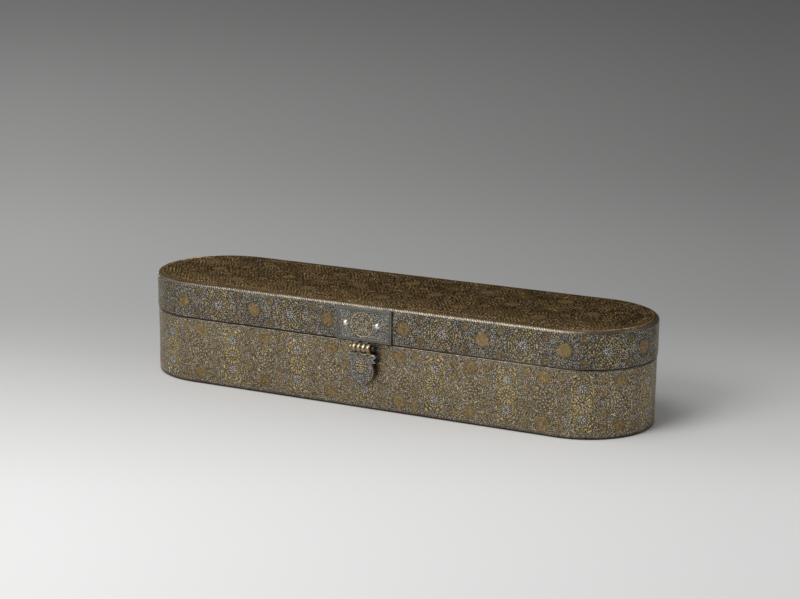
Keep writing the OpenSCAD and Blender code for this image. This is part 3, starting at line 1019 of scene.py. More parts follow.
def top_field(inlay, pitch):
    """The lid's top: rows of medallions and roundels in turn, flowers between them, inside two borders."""
    half, row_gap = pitch / 2, 19 * MM
    edge, frieze = 2.3 * MM, 6 * MM
    medallion_room, roundel_room, flower_room = 14 * MM, 11 * MM, 8 * MM
    reach = int((HALF + LID_R) / half)
    border_row(inlay, edge + 0.7 * MM, pitch=1.4 * MM, long=2.2 * MM, wide=0.6 * MM, lean=ROPE_LEAN)
    border_row(inlay, edge + 5.2 * MM, pitch=1.9 * MM, long=1.2 * MM, wide=0.9 * MM)
    for row in (-1, 0, 1):
        for column in range(-reach, reach + 1):
            x, y = column * half, row * row_gap
            room = edge_gap(x, y) - edge
            if (column + row) % 2 == 0 and room > medallion_room:
                medallion(inlay, x, y, "gold")
            if (column + row) % 2 and room > roundel_room:
                inlay.roundel(x, y, radius=4.6 * MM, petals=9)
    for row in (-0.5, 0.5):
        for column in range(-reach, reach):
            x, y = (column + 0.5) * half, row * row_gap
            if edge_gap(x, y) > edge + flower_room:
                inlay.flower(x, y, radius=2.9 * MM, petals=6)
    low, high = (-HALF - LID_R, -LID_R), (HALF + LID_R, LID_R)

    def in_frieze(x, y):
        return edge < edge_gap(x, y) <= edge + frieze

    def in_middle(x, y):
        return edge_gap(x, y) > edge + frieze

    inlay.fill(low, high, gold_share=0.85, inside=in_frieze, coarse=1.3)
    inlay.fill(low, high, gold_share=0.94, inside=in_middle, coarse=1.7)


def inlay_pieces(name, fields, body, golds=(gold_metal, roundel_metal, medallion_ground_metal)):
    """Joins the inlay of some (field, place) pairs into a gold piece and a silver piece."""
    metals = {"gold": [gold() for gold in golds], "silver": [silver_metal(), star_metal()]}
    for kind in metals:
        whole = bmesh.new()
        for field, place in fields:
            append(whole, field.build(kind, place))
        piece(f"{name}_{kind}_inlay", whole, body, metals[kind], sharp=INLAY_CREASE)


# Hinge parts. A pin lies on the X axis, the wall is at +Y and a leaf's plate goes up. An operator that
# makes a hinge holds the pitch and the count of its knuckles, its pin's radius, and its plate's grooves.

PLATE_EDGE, TANG_EDGE = 0.18 * MM, 0.15 * MM


def knuckle(radius, long, pin_radius):
    """A bead along X, bored for its pin and rubbed bright round its middle."""
    waist, half = 0.8 * radius, long / 2
    swell, steps = math.radians(80), 10
    bore = pin_radius + sizes().pin_fit
    curve = [swell * (2 * i / steps - 1) for i in range(steps + 1)]
    outer = [(waist + (radius - waist) * math.cos(t), half * math.sin(t) / math.sin(swell)) for t in curve]
    bm = turned([(bore, -half), *outer, (bore, half)], closed=True)
    mark_wear(bm, lambda co: math.hypot(co.x, co.y) > 0.97 * radius)
    paint(bm, lambda face: 1)
    return quarter_turn(bm, "Y")


def framed_plate(low, high, grooves, top_lip):
    """A plate facing -Y whose face steps in by (width, depth) in mm from its edge; its top rim is wider."""
    bm = rounded_box(low, high, PLATE_EDGE)
    face = min(bm.faces, key=lambda f: f.calc_center_median().y)
    for i, (width, depth) in enumerate(grooves):
        bmesh.ops.inset_region(
            bm, faces=[face], thickness=width * MM, depth=depth * MM, use_even_offset=True)
        if i == 0:
            upper = [v for v in face.verts if v.co.z > face.calc_center_median().z]
            bmesh.ops.translate(bm, verts=upper, vec=(0, 0, -top_lip))
    face.material_index = 2
    return bm


def knuckle_row(bm, hinge, own, tang_low, tang_high):
    """Adds a leaf's own knuckles, and the tangs between two (y, z) corners that carry them."""
    long = hinge.pitch - sizes().knuckle_play
    for i in own:
        x = (i - (hinge.count - 1) / 2) * hinge.pitch
        append(bm, knuckle(sizes().knuckle, long, hinge.pin_radius), Matrix.Translation((x, 0, 0)))
        append(bm, rounded_box((x - long / 2, *tang_low), (x + long / 2, *tang_high), TANG_EDGE))


def leaf(hinge, own, width, high, wall):
    """Half a hinge: a framed plate with its own knuckles."""
    size = sizes()
    edge = size.knuckle + size.leaf_play
    face = wall - size.plate
    bm = framed_plate((-width / 2, face, edge), (width / 2, wall, edge + high), hinge.grooves, hinge.top_lip)
    knuckle_row(bm, hinge, own, (face, size.leaf_play), (wall, edge + size.leaf_play))
    return bm


def rivet(head, grip):
    """A rivet along +Y: a domed head on the face at y = 0, and a shank filed flush at the far end."""
    dome, shank = 0.7 * head, 0.5 * head
    ball = (head * head + dome * dome) / (2 * dome)
    top = math.degrees(math.asin((ball - dome) / ball))
    flush = -grip - 0.03 * MM
    crown = arc((0, dome - ball), ball, 90, top, 8)
    return quarter_turn(turned([*crown, (shank, 0), (shank, flush), (0, flush)]), "X")


def pin_pieces(name, hinge, place, body, finishes):
    """A pin along X with a ball on its left end, and the ball that caps its right, each in its finish."""
    radius, half = hinge.pin_radius, hinge.count * hinge.pitch / 2
    ball = 1.45 * radius
    neck = 90 - math.degrees(math.asin(radius / ball))
    stem = turned([*arc((0, -half - radius), ball, -90, neck, 10), (radius, half), (0, half)])
    cap = turned([*arc((0, half + radius), ball, 90, -neck, 10), (0, half)])
    for node, bm, finish in ((name, stem, finishes[0]), (name + "_cap", cap, finishes[1])):
        whole = moved(quarter_turn(bm, "Y"), place)
        piece(node + "_ball", whole, body, [finish], [node])


# Operators.

class PENBOX_OT_body(bpy.types.Operator):
    """Makes the body's wall, floor and the strip inside its rim"""

    bl_idname = "penbox.body"
    bl_label = "Body"

    def execute(self, context):
        self.wall()
        self.floor()
        self.strip()
        return {"FINISHED"}

    def wall(self):
        """The upright band, dark with painted shade along its rim, with the slot for the catch."""
        size = sizes()
        outer, inner = BODY_R - size.shell_inset, BODY_R - size.wall
        corner = arc((outer - size.rim_edge, RIM_Z - size.rim_edge), size.rim_edge, 0, 90)
        support = (outer, RIM_Z - size.rim_edge - size.edge_support)
        bm = oval_sweep([(inner, FLOOR_Z), (outer, FLOOR_Z), support, *corner, (inner, RIM_Z)])
        self.cut_catch_slot(bm)
        # The top of the rim takes the painted seam shade.
        line_inside(bm, (outer + inner) / 2, lambda z: z > RIM_Z - 0.4 * size.rim_edge)
        metals = [body_ground_metal(), lining_metal(), seam_shade_metal()]
        piece("body_wall_shell", bm, "body", metals, ["body_wall"])

    def floor(self):
        """The plate that the box stands on, with a rounded lower edge that is painted in shade."""
        size = sizes()
        outer, bend = BODY_R - size.shell_inset, size.base_edge
        edge = arc((outer - bend, bend), bend, -90, 0)
        middle = outer - bend - size.edge_support
        bm = oval_sweep(
            [(middle, 0), *edge, (outer, bend + size.edge_support), (outer, FLOOR_Z), (middle, FLOOR_Z)],
            closed=False)
        # Faces that turn down round the foot take painted shade; the rest of its side takes the body's
        # ground.
        paint(bm, lambda f: 1 if f.normal.z > 0.9 else 2 if f.normal.z > -0.05 else 0)
        metals = [painted_shade_metal(), lining_metal(), body_ground_metal()]
        piece("body_floor_shell", bm, "body", metals, ["body_floor"])

    def strip(self):
        """The thin strip inside the rim that the lid drops over."""
        low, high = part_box("rim_flange")
        thick = sizes().strip
        lip = arc((high.y - thick / 2, high.z - thick / 2), thick / 2, 0, 180)
        bm = oval_sweep([(high.y - thick, low.z), (high.y, low.z), *lip])
        mark_wear(bm, lambda co: co.z > high.z - 0.3 * thick)
        piece("rim_strip", bm, "body", [lining_metal()], ["rim_flange"])

    def cut_catch_slot(self, wall):
        """Cuts the slot that the catch goes into through the front of the wall."""
        low, high = catch_slot()
        front = -0.9 * BODY_R
        for corner in (low, high):
            for axis in ((1, 0, 0), (0, 0, 1)):
                faces = [
                    f for f in wall.faces if f.calc_center_median().y < front and abs(f.normal.y) > 0.99]
                edges = list({e for f in faces for e in f.edges})
                verts = list({v for f in faces for v in f.verts})
                bmesh.ops.bisect_plane(wall, geom=verts + edges + faces, plane_co=corner, plane_no=axis)
        gone = []
        for face in wall.faces:
            spot = face.calc_center_median()
            if spot.y < front and low.x < spot.x < high.x and low.z < spot.z < high.z:
                gone.append(face)
        bmesh.ops.delete(wall, geom=gone, context="FACES")
        bmesh.ops.bridge_loops(wall, edges=[e for e in wall.edges if e.is_boundary])


class PENBOX_OT_lid(bpy.types.Operator):
    """Makes the lid's band and its top plate"""

    bl_idname = "penbox.lid"
    bl_label = "Lid"

    crown_steps = 8
    sheen_strips = 10  # the flat of the top is cut into these, so that the painted sheen can fade across it

    def execute(self, context):
        centre, bend = edge_centre(), sizes().top_edge
        split = math.degrees(math.asin((PLATE_Z - centre[1]) / bend))
        top = 90 - math.degrees(crown_slope())
        self.band(arc(centre, bend, 0, split, 4))
        self.plate(arc(centre, bend, split, top, 8))
        return {"FINISHED"}

    def band(self, shoulder):
        """The upright band, dark with painted shade along the seam, up to where the top plate takes over its
        rounded edge.
        """
        size = sizes()
        outer, inner = LID_R - size.shell_inset, LID_R - size.wall
        corner = arc((outer - size.rim_edge, LID_Z + size.rim_edge), size.rim_edge, -90, 0)
        support = (outer, LID_Z + size.rim_edge + size.edge_support)
        bm = oval_sweep([(inner, PLATE_Z), (inner, LID_Z), *corner, support, *shoulder])
        line_inside(bm, (outer + inner) / 2, lambda z: z < LID_Z + size.rim_edge)
        metals = [lid_ground_metal(), lining_metal(), seam_shade_metal()]
        piece("lid_band_shell", bm, "lid", metals, ["lid_band"])

    def plate(self, edge):
        """The top plate: the rest of the rounded edge, and a top that falls a little towards it."""
        size = sizes()
        steps = self.crown_steps
        crown = [edge[-1][0] - size.crown_width * i / steps for i in range(1, steps + 1)]
        crown.append(crown[-1] - size.edge_support)
        bm = oval_sweep(
            [(crown[-1], PLATE_Z), *edge, *((run, crown_height(run)) for run in crown)], closed=False)
        for i in range(1, self.sheen_strips):
            cut = (0, LID_R * (2 * i / self.sheen_strips - 1), 0)
            parts = bm.verts[:] + bm.edges[:] + bm.faces[:]
            bmesh.ops.bisect_plane(bm, geom=parts, plane_co=cut, plane_no=(0, 1, 0))
        # The rounded edge takes the darker edge metal, painted shade.
        paint(bm, lambda f: 1 if f.normal.z < -0.9 else 2 if f.normal.z < 0.9 else 0)
        # Painted sheen: the top and its edge are rubbed brighter towards the front.
        mark_wear(bm, lambda co: front_sheen(co.x, co.y))
        metals = [top_ground_metal(), lining_metal(), edge_shade_metal()]
        piece("lid_top_shell", bm, "lid", metals, ["lid_top"])


class PENBOX_OT_lid_side_inlay(bpy.types.Operator):
    """Lays gold and silver round the lid's side"""

    bl_idname = "penbox.lid_side_inlay"
    bl_label = "Lid side inlay"

    def execute(self, context):
        size = sizes()
        low, high = LID_Z + size.rim_edge, edge_centre()[1] + 0.1 * size.top_edge
        middle = (low + high) / 2
        pitch = run_round(LID_R - size.shell_inset) / size.lid_cells
        fields = []
        for i in range(size.lid_cells):
            field = Inlay(SEED + i, worn=lambda x, y: 0.25)
            lid_cell(field, pitch, (high - low) / 2)
            fields.append((field, lid_place((i - size.lid_cells // 2) * pitch, middle)))
        inlay_pieces("lid_side", fields, "lid")
        return {"FINISHED"}


class PENBOX_OT_body_side_inlay(bpy.types.Operator):
    """Lays gold and silver round the body's side"""

    bl_idname = "penbox.body_side_inlay"
    bl_label = "Body side inlay"

    margin = 0.2 * MM
    slot_margin = 0.6 * MM

    def execute(self, context):
        size = sizes()
        low, high = FLOOR_Z + self.margin, RIM_Z - size.rim_edge - self.margin
        radius = BODY_R - size.shell_inset
        pitch = size.body_pitch
        reach = int((2 * HALF + math.pi * radius) / pitch)
        fields = []
        for i in range(-reach, reach + 1):
            field = Inlay(SEED + 100 + i)
            body_cell(field, pitch, (high - low) / 2, i < reach)
            shift, lift = i * pitch, (high + low) / 2
            slot = [Vector((corner.x - shift, corner.z - lift)) for corner in catch_slot()]
            field.clear(*slot, self.slot_margin)
            fields.append((field, wall_place(shift, lift, radius)))
        inlay_pieces("body_side", fields, "body")
        return {"FINISHED"}


class PENBOX_OT_lid_top_inlay(bpy.types.Operator):
    """Lays gold and silver on the lid's top"""

    bl_idname = "penbox.lid_top_inlay"
    bl_label = "Lid top inlay"

    def execute(self, context):
        # The studs are brighter towards the front: painted sheen.
        field = Inlay(SEED + 200, relief=1.2, worn=front_sheen)
        top_field(field, run_round(LID_R) / sizes().lid_cells)

        def place(co):
            return Vector((co.x, co.y, crown_height(off_middle(co.x, co.y)) + co.z))

        inlay_pieces("lid_top", [(field, place)], "lid", (top_gold_metal, top_roundel_metal))
        return {"FINISHED"}


class PENBOX_OT_lid_edge(bpy.types.Operator):
    """Lays a line of slanted strokes along the lid's upper edge"""

    bl_idname = "penbox.lid_edge"
    bl_label = "Lid edge"

    middle = math.radians(49)  # where the line lies on the rounded edge, from the side up
    stud_step = 0.66 * MM

    def execute(self, context):
        size = sizes()
        run = run_round(LID_R - size.shell_inset)
        count = round(run / size.rope_pitch)
        field = Inlay(SEED + 300)
        for i in range(count):
            self.stroke(field, (i / count - 0.5) * run)
        rope = field.build("silver", lid_place(0, edge_centre()[1] + self.middle * size.top_edge))
        piece("lid_edge_rope", rope, "lid", [rope_metal()], sharp=INLAY_CREASE)
        return {"FINISHED"}

    def stroke(self, field, x):
        """One slanted stroke of the line, of five short studs, so that it bends with the edge."""
        for i in range(-2, 3):
            along = i * self.stud_step
            field.stud(
                "silver", x + along * math.cos(ROPE_LEAN), along * math.sin(ROPE_LEAN), long=0.9 * MM,
                wide=0.54 * MM, turn=ROPE_LEAN)


class PENBOX_OT_ink_end(bpy.types.Operator):
    """Makes the inkwell and the two cups, and finishes the deck and the partition that carry them"""

    bl_idname = "penbox.ink_end"
    bl_label = "Ink end"

    lip_w = 2.4 * MM
    lip_t = 1.0 * MM
    pot_wall = 1.0 * MM
    foot_share = 0.48  # radius of a pot's rounded foot, as a share of the pot's

    def execute(self, context):
        for node in ("inkwell", "sand_cup", "paste_cup"):
            self.pot(node)
        for node in ("ink_deck", "ink_partition"):
            frame["nodes"][node].material_slots[0].material = lining_metal()
        return {"FINISHED"}

    def pot(self, node):
        """A pot that hangs by its lip: round foot, rolled lip."""
        low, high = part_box(node)
        lip, roll = (high.x - low.x) / 2, self.lip_t / 2
        outer = lip - self.lip_w
        foot = self.foot_share * outer
        profile = [
            (0, low.z),
            *arc((outer - foot, low.z + foot), foot, -90, 0, 8),
            (outer, high.z - self.lip_t),
            *arc((lip - roll, high.z - roll), roll, -90, 90, 6),
            *arc((outer - self.pot_wall + roll, high.z - roll), roll, 90, 180, 4),
            *arc((outer - foot, low.z + foot), foot - self.pot_wall, 0, -90, 8),
            (0, low.z + self.pot_wall),
        ]
        bm = turned(profile, steps=48)
        mark_wear(bm, lambda co: co.z > high.z - 0.2 * self.lip_t)
        bmesh.ops.translate(bm, verts=bm.verts, vec=((low.x + high.x) / 2, (low.y + high.y) / 2, 0))
        piece(node + "_pot", bm, "body", [lining_metal()], [node])


class PENBOX_OT_hinges(bpy.types.Operator):
    """Makes the two hinges on the back"""

    bl_idname = "penbox.hinges"
    bl_label = "Hinges"

    grooves = ((0.9, 0), (0.2, -0.2), (0.3, 0), (0.2, 0.2))
    top_lip = 0.0
    pitch = 3.2 * MM
    count = 5
    own = {"lid": (0, 2, 4), "body": (1, 3)}  # the knuckles of each half
    pin_radius = 1.0 * MM
    width = 24 * MM
    high = 12 * MM
    rivet_head = 1.5 * MM
    rivet_reach = 7 * MM

    def execute(self, context):
        rivets = {"lid": bmesh.new(), "body": bmesh.new()}
        for side in ("left", "right"):
            low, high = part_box(f"hinge_{side}_pin")
            cap_low, cap_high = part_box(f"hinge_{side}_pin_cap")
            x = (min(low.x, cap_low.x) + max(high.x, cap_high.x)) / 2
            place = Matrix.Translation((x, HINGE_PIN.y, HINGE_PIN.z)) @ Matrix.Rotation(math.pi, 4, "Z")
            self.half(side, "lid", HINGE_PIN.y - LID_R, place, rivets["lid"])
            down = place @ Matrix.Diagonal((1, 1, -1, 1))
            self.half(side, "body", HINGE_PIN.y - BODY_R, down, rivets["body"])
            pin_pieces(f"hinge_{side}_pin", self, place, "body", [brass_metal()] * 2)
        for body, bm in rivets.items():
            node = f"hinge_{body}_rivets"
            piece(f"hinge_{body}_rivet_heads", bm, body, [brass_metal()], [node])
        return {"FINISHED"}

    def half(self, side, body, wall, place, heads):
        """One leaf of a hinge, and the rivets that hold it."""
        size = sizes()
        bm = moved(leaf(self, self.own[body], self.width, self.high, wall), place)
        node = f"hinge_{side}_{body}_leaf"
        piece(f"hinge_{side}_{body}_half", bm, body, [brass_metal()] * 3, [node])
        middle = size.knuckle + size.leaf_play + self.high / 2
        for hand in HANDS:
            spot = Matrix.Translation((hand * self.rivet_reach, wall - size.plate, middle))
            append(heads, rivet(self.rivet_head, size.plate + size.wall), place @ spot)


class PENBOX_OT_hasp(bpy.types.Operator):
    """Makes the hasp: its plate on the lid, its hanging tongue, its pin and its rivets"""

    bl_idname = "penbox.hasp"
    bl_label = "Hasp"

    grooves = ((0.4, 0), (0.2, -0.25), (0.15, 0), (0.2, 0.25), (0.4, 0), (0.25, -0.3))
    top_lip = 0.6 * MM
    pitch = 2.8 * MM
    count = 4
    own = {"lid": (0, 2), "hasp": (1, 3)}
    pin_radius = 1.1 * MM
    rivet_head = 1.8 * MM
    rivet_places = (-11 * MM, 8 * MM)
    panel = 0.3 * MM  # how deep the plate's panel lies below its rim
    tongue_thick = 2.2 * MM
    belly = 7.4 * MM
    belly_drop = 12.6 * MM
    point_drop = 22.8 * MM
    shoulder = ((7.0, -2.9), (9.2, -4.4), (7.1, -5.9), (8.9, -7.6))  # corners of the barbs, in mm
    barb_start, barb_end = 6.0 * MM, -8.2 * MM
    rim_bevel = 0.55 * MM

    def execute(self, context):
        place = Matrix.Translation(HASP_PIN)
        self.plate(place)
        self.tongue(place)
        frame["nodes"]["hasp_catch"].material_slots[0].material = brass_metal()
        return {"FINISHED"}

    def plate(self, place):
        """The framed plate on the lid, with its rivets and its pin."""
        size = sizes()
        low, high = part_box("hasp_plate")
        wall = -LID_R - HASP_PIN.y
        edge = size.knuckle + size.leaf_play
        plate_h = high.z - HASP_PIN.z - edge
        bm = moved(leaf(self, self.own["lid"], high.x - low.x, plate_h, wall), place)
        metals = [hasp_metal(), brass_metal(), hasp_panel_metal()]
        piece("hasp_plate_leaf", bm, "lid", metals, ["hasp_plate"])
        rivets = bmesh.new()
        thick = size.plate - self.panel
        for x in self.rivet_places:
            spot = Matrix.Translation((x, wall - thick, edge + plate_h / 2))
            append(rivets, rivet(self.rivet_head, thick + size.wall), place @ spot)
        piece("hasp_rivet_heads", rivets, "lid", [rivet_metal()], ["hasp_rivets"])
        # The cap that ends the pin on the right is painted in shade.
        pin_pieces("hasp_pin", self, place, "lid", [brass_metal(), painted_shade_metal()])

    def outline(self):
        """The tongue's outline: two barbed shoulders, a round belly and a point."""
        half_angle = math.degrees(math.asin(self.belly / (self.point_drop - self.belly_drop)))
        round_side = arc((0, -self.belly_drop), self.belly, 35, -half_angle, 14)
        right = [(x * MM, z * MM) for x, z in self.shoulder] + round_side
        return right + [(0, -self.point_drop)] + [(-x, z) for x, z in reversed(right)]

    def tongue(self, place):
        """The hanging tongue, bevelled on its front, with its two knuckles."""
        size = sizes()
        bm = bmesh.new()
        front, near, rubbed = -self.tongue_thick / 2, 0.01 * MM, 0.5 * MM
        bmesh.ops.contextual_create(bm, geom=chain(bm, [(x, front, z) for x, z in self.outline()], True))
        made = bmesh.ops.extrude_face_region(bm, geom=bm.faces[:])
        bmesh.ops.translate(bm, verts=verts_in(made["geom"]), vec=(0, self.tongue_thick, 0))
        bmesh.ops.recalc_face_normals(bm, faces=bm.faces)
        rim = [e for e in bm.edges if all(abs(v.co.y - front) < near for v in e.verts)]
        bmesh.ops.bevel(
            bm, geom=rim, offset=self.rim_bevel, segments=3, profile=0.5, affect="EDGES", material=-1)
        mark_wear(bm, lambda co: near < abs(co.y - front) and co.y < front + rubbed and co.z < self.barb_end)
        for face in bm.faces:
            spot = face.calc_center_median()
            is_barb = abs(spot.x) > self.barb_start and spot.y < front + rubbed
            if spot.z > self.barb_end:
                face.material_index = 3 if is_barb else 4
        max(bm.faces, key=lambda f: -f.normal.y * f.calc_area()).material_index = 2
        drop = size.knuckle + size.leaf_play
        tang_low, tang_high = (front, -drop - self.pin_radius), (-front, -self.pin_radius)
        knuckle_row(bm, self, self.own["hasp"], tang_low, tang_high)
        metals = [lining_metal(), brass_metal(), hasp_panel_metal(), silver_metal(), hasp_metal()]
        piece("hasp_tongue_leaf", moved(bm, place), "hasp", metals, ["hasp_tongue"])


class PENBOX_OT_hasp_inlay(bpy.types.Operator):
    """Lays gold and silver on the hasp's plate and tongue"""

    bl_idname = "penbox.hasp_inlay"
    bl_label = "Hasp inlay"

    medallion_x, medallion_r = -1.1 * MM, 6.7 * MM
    rivet_room = 1.9 * MM
    side_x, side_levels = 12.8 * MM, (-1.6 * MM, 0, 1.6 * MM)
    oval_y = -9.6 * MM
    # Rings of the tongue's oval: number of studs; half width, half height and a stud's length in mm.
    oval_rings = ((14, 2.9, 3.8, 1.1), (10, 1.9, 2.6, 0.85), (6, 0.9, 1.3, 0.85), (1, 0, 0, 0.9))
    oval_stud = 0.85 * MM
    border = 0.8 * MM

    def execute(self, context):
        self.plate()
        self.tongue()
        return {"FINISHED"}

    def plate(self):
        """A gold-ringed medallion between the rivets, on silver scrolls."""
        size = sizes()
        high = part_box("hasp_plate")[1]
        panel = -LID_R - size.plate + PENBOX_OT_hasp.panel
        bottom = HASP_PIN.z + size.knuckle + size.leaf_play
        middle = (bottom + high.z) / 2
        half_w, half_h = high.x - 2.0 * MM, (high.z - bottom) / 2 - 2.2 * MM
        field = Inlay(SEED + 400)
        self.plate_medallion(field, self.medallion_x)
        for rivet_x in PENBOX_OT_hasp.rivet_places:
            field.keep(rivet_x, 0, self.rivet_room)
            field.centres.append((rivet_x, 0, self.rivet_room))
        for hand in HANDS:
            for level in self.side_levels:
                field.dots("gold", hand * self.side_x, level, 0.7 * MM, circle(2), radius=0.42 * MM)
        field.fill((-half_w, -half_h), (half_w, half_h), gold_share=0.12)
        inlay_pieces("hasp_plate", [(field, face_place(panel, middle))], "lid")

    def plate_medallion(self, field, x):
        """Five rosettes round a sixth, in a ring of dots and a ring of dashes."""
        rosettes = 3.1 * MM
        field.dashes("gold", x, 0, self.medallion_r, circle(22), long=1.9 * MM, wide=0.75 * MM)
        field.dots("gold", x, 0, 5.2 * MM, circle(16), radius=0.42 * MM)
        for turn in circle(5, 0.3):
            a, b = x + rosettes * math.cos(turn), rosettes * math.sin(turn)
            field.dots("gold", a, b, 1.0 * MM, circle(6), radius=0.38 * MM)
            field.stud("star", a, b, long=0.8 * MM, wide=0.8 * MM)
        field.dots("gold", x, 0, 0.9 * MM, circle(5), radius=0.38 * MM)
        field.gild(x, 0, 6.6 * MM)
        field.centres.append((x, 0, self.medallion_r))

    def tongue(self):
        """A gold oval on silver, inside a plain border."""
        face = HASP_PIN.y - PENBOX_OT_hasp.tongue_thick / 2
        belly = PENBOX_OT_hasp.belly
        low, high = -22 * MM, -3.6 * MM
        field = Inlay(SEED + 500)
        for count, half_w, half_h, long in self.oval_rings:
            for turn in circle(count):
                x, y = half_w * MM * math.cos(turn), self.oval_y + half_h * MM * math.sin(turn)
                field.stud("gold", x, y, long * MM, self.oval_stud, turn + math.pi / 2)
        field.centres.append((0, self.oval_y, 3.5 * MM))
        field.fill((-belly, low), (belly, high), gold_share=0.16, inside=self.on_tongue)
        inlay_pieces("hasp_tongue", [(field, face_place(face, HASP_PIN.z))], "hasp")

    def on_tongue(self, x, y):
        """Whether a point is inside the tongue's border: on its belly, its point or its shoulders."""
        drop, belly = PENBOX_OT_hasp.belly_drop, PENBOX_OT_hasp.belly
        tip_slope, shoulder_y, shoulder_gap = 0.72, -4.2 * MM, 0.4 * MM
        tip = (y + PENBOX_OT_hasp.point_drop) * tip_slope
        in_belly = math.hypot(x, y + drop) < belly - self.border
        in_tip = y < -drop and abs(x) < tip - 1.4 * self.border
        in_shoulder = -drop < y < shoulder_y and abs(x) < belly - self.border - shoulder_gap
        return in_belly or in_tip or in_shoulder


class PENBOX_OT_stage(bpy.types.Operator):
    """Makes the floor, the backdrop, the lights and the camera"""

    bl_idname = "penbox.stage"
    bl_label = "Studio"

    camera_place = Vector((0.45625, -0.92519, 0.30083))
    camera_right = Vector((0.89637, 0.44319, 0.01010))
    camera_up = Vector((-0.11240, 0.20518, 0.97225))
    lens_mm, sensor_mm = 85.85, 36.0
    # The lamps: name, place and width in metres, power in watts.
    lamps = (
        ("Top light", (-0.3, -0.6, 1.6), 1.0, 8.5),
        ("Front light", (-0.62, -1.5, 1.1), 1.1, 20.0),
        ("Left light", (-1.7, -0.3, 0.8), 1.2, 3.5),
        ("Right light", (1.5, 0.3, 0.8), 0.9, 2.0),
    )
    sky_grey, sky_strength = 0.8, 0.32
    # The paper, in metres: its front edge, where it starts to rise, its bend, its height and its width.
    paper_front, paper_back, paper_bend, paper_high, paper_wide = -3.0, 5.0, 1.0, 4.0, 12.0
    nearest = 0.3  # nearer to the camera than this, and behind it, the paper's tone stays the same
    # How far the paper's tone has gone from the backdrop's to the floor's, at places from the horizon down;
    # the shares hold painted shade, fitted to where the lamps' light falls off.
    floor_shares = (
        (0.0, 0.18), (0.12, 0.14), (0.25, 0.0), (0.38, 0.11), (0.5, 0.0),
        (0.58, 0.37), (0.68, 0.66), (0.8, 1.0), (1.0, 0.86))

    def execute(self, context):
        self.sweep()
        for lamp in self.lamps:
            self.light(*lamp)
        self.world()
        self.camera()
        context.scene.view_settings.view_transform = "Standard"
        return {"FINISHED"}

    def sweep(self):
        """One sheet of paper: a long flat floor that curves up into the backdrop."""
        bm = bmesh.new()
        back, bend = self.paper_back, self.paper_bend
        rise = arc((back, bend), bend, -90, 0, 16)
        profile = [(self.paper_front, 0.0), (back, 0.0), *rise, (back + bend, self.paper_high)]
        section = chain(bm, [(-self.paper_wide / 2, y, z) for y, z in profile])
        pushed = bmesh.ops.extrude_edge_only(bm, edges=edges_in(section))["geom"]
        bmesh.ops.translate(bm, verts=verts_in(pushed), vec=(self.paper_wide, 0, 0))
        bmesh.ops.recalc_face_normals(bm, faces=bm.faces)
        mesh = bpy.data.meshes.new("studio_sweep")
        bm.to_mesh(mesh)
        bm.free()
        mesh.shade_smooth()
        mesh.materials.append(self.paper())
        sheet = bpy.data.objects.new("studio_sweep", mesh)
        bpy.context.scene.collection.objects.link(sheet)

    def paper(self):
        """Paper that is pale in front and grey far behind, and darker to the right. The ramp to grey is
        partly the paper's own grey and partly painted shade where the lamps' light falls off; the darkening
        to the right is painted shade.
        """
        material = bpy.data.materials.new("Studio paper")
        material.use_nodes = True
        tree = material.node_tree
        ahead = self.camera_up.cross(self.camera_right).to_2d().normalized()
        forward, across = (self.measure(tree, way) for way in (ahead, Vector((ahead.y, -ahead.x))))
        away = calculate(tree, "MAXIMUM", forward, self.nearest)
        slope = calculate(tree, "DIVIDE", self.camera_place.z, away)
        depth = remap(tree, slope, 0.08, 0.42)
        side = calculate(tree, "DIVIDE", across, away)
        # Painted shade: the paper darkens to the right, more so far behind.
        right = remap(tree, depth, 0.2, 0.75, 0.63, 0.91, interpolation_type="SMOOTHSTEP")
        painted_side_shade = remap(tree, side, -0.19, 0.19, 1.0, right)
        tone = add_node(
            tree, "ShaderNodeVectorMath", {0: self.tones(tree, depth), "Scale": painted_side_shade}, operation="SCALE")
        set_inputs(tree, tree.nodes["Principled BSDF"], {"Base Color": (tone, "Vector"), "Roughness": 0.9})
        return material

    def measure(self, tree, heading):
        """How far a point of the floor lies from below the camera, along a heading."""
        place = add_node(tree, "ShaderNodeTexCoord"), "Object"
        below = (self.camera_place.x, self.camera_place.y, 0)
        offset = add_node(tree, "ShaderNodeVectorMath", {0: place, 1: below}, operation="SUBTRACT"), "Vector"
        inputs = {0: offset, 1: (*heading, 0)}
        return add_node(tree, "ShaderNodeVectorMath", inputs, operation="DOT_PRODUCT"), "Value"

    def tones(self, tree, depth):
        """The paper's tone from the horizon down, as a smooth ramp that holds painted shade."""
        ramp = add_node(tree, "ShaderNodeValToRGB", {"Fac": depth})
        ramp.color_ramp.interpolation = "B_SPLINE"
        stops = ramp.color_ramp.elements
        while len(stops) < len(self.floor_shares):
            stops.new(0.5)
        for stop, (position, share) in zip(stops, self.floor_shares):
            stop.position = position
            stop.color = (*(a + (b - a) * share for a, b in zip(colours().backdrop, colours().floor)), 1)
        return ramp, "Color"

    def light(self, name, place, width, power):
        """A soft round lamp that shines at the box and that the camera doesn't see."""
        lamp = bpy.data.lights.new(name, "AREA")
        lamp.shape = "DISK"
        lamp.size = width
        lamp.energy = power
        obj = bpy.data.objects.new(name, lamp)
        obj.location = place
        obj.rotation_euler = (-Vector(place)).to_track_quat("-Z", "Y").to_euler()
        obj.visible_camera = False
        bpy.context.scene.collection.objects.link(obj)

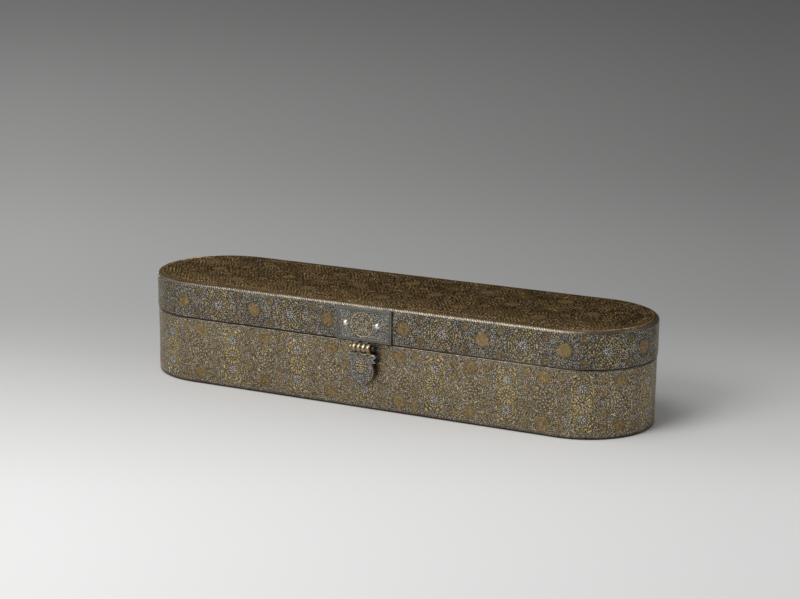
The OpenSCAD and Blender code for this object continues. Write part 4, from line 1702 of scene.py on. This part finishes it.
    def world(self):
        """An even grey light from all sides."""
        world = bpy.data.worlds.new("Studio")
        world.use_nodes = True
        sky = world.node_tree.nodes["Background"]
        sky.inputs["Color"].default_value = (*(self.sky_grey,) * 3, 1)
        sky.inputs["Strength"].default_value = self.sky_strength
        bpy.context.scene.world = world

    def camera(self):
        """The camera at the photograph's viewing angle."""
        lens = bpy.data.cameras.new("Photo view")
        lens.sensor_fit = "HORIZONTAL"
        lens.sensor_width = self.sensor_mm
        lens.lens = self.lens_mm
        view = bpy.data.objects.new("Photo view", lens)
        back = self.camera_right.cross(self.camera_up)
        turn = Matrix((self.camera_right, self.camera_up, back)).transposed().to_4x4()
        view.matrix_world = Matrix.Translation(self.camera_place) @ turn
        bpy.context.scene.collection.objects.link(view)
        bpy.context.scene.camera = view


class PENBOX_PT_panel(bpy.types.Panel):
    """Lists the steps that dress the pen box"""

    bl_idname = "PENBOX_PT_panel"
    bl_label = "Pen Box"
    bl_space_type = "VIEW_3D"
    bl_region_type = "UI"
    bl_category = "Pen Box"

    def draw(self, context):
        for step in STEPS:
            self.layout.operator(step.bl_idname)


STEPS = (
    PENBOX_OT_body,
    PENBOX_OT_lid,
    PENBOX_OT_lid_side_inlay,
    PENBOX_OT_body_side_inlay,
    PENBOX_OT_lid_top_inlay,
    PENBOX_OT_lid_edge,
    PENBOX_OT_ink_end,
    PENBOX_OT_hinges,
    PENBOX_OT_hasp,
    PENBOX_OT_hasp_inlay,
    PENBOX_OT_stage,
)
CLASSES = (PenBoxSizes, PenBoxColours, *STEPS, PENBOX_PT_panel)


def register():
    for kind in CLASSES:
        bpy.utils.register_class(kind)
    bpy.types.Scene.pen_box_sizes = PointerProperty(type=PenBoxSizes)
    bpy.types.Scene.pen_box_colours = PointerProperty(type=PenBoxColours)


def unregister():
    del bpy.types.Scene.pen_box_colours
    del bpy.types.Scene.pen_box_sizes
    for kind in reversed(CLASSES):
        bpy.utils.unregister_class(kind)


def main():
    register()
    for step in STEPS:
        family, name = step.bl_idname.split(".")
        getattr(getattr(bpy.ops, family), name)()


if __name__ == "__main__":
    main()
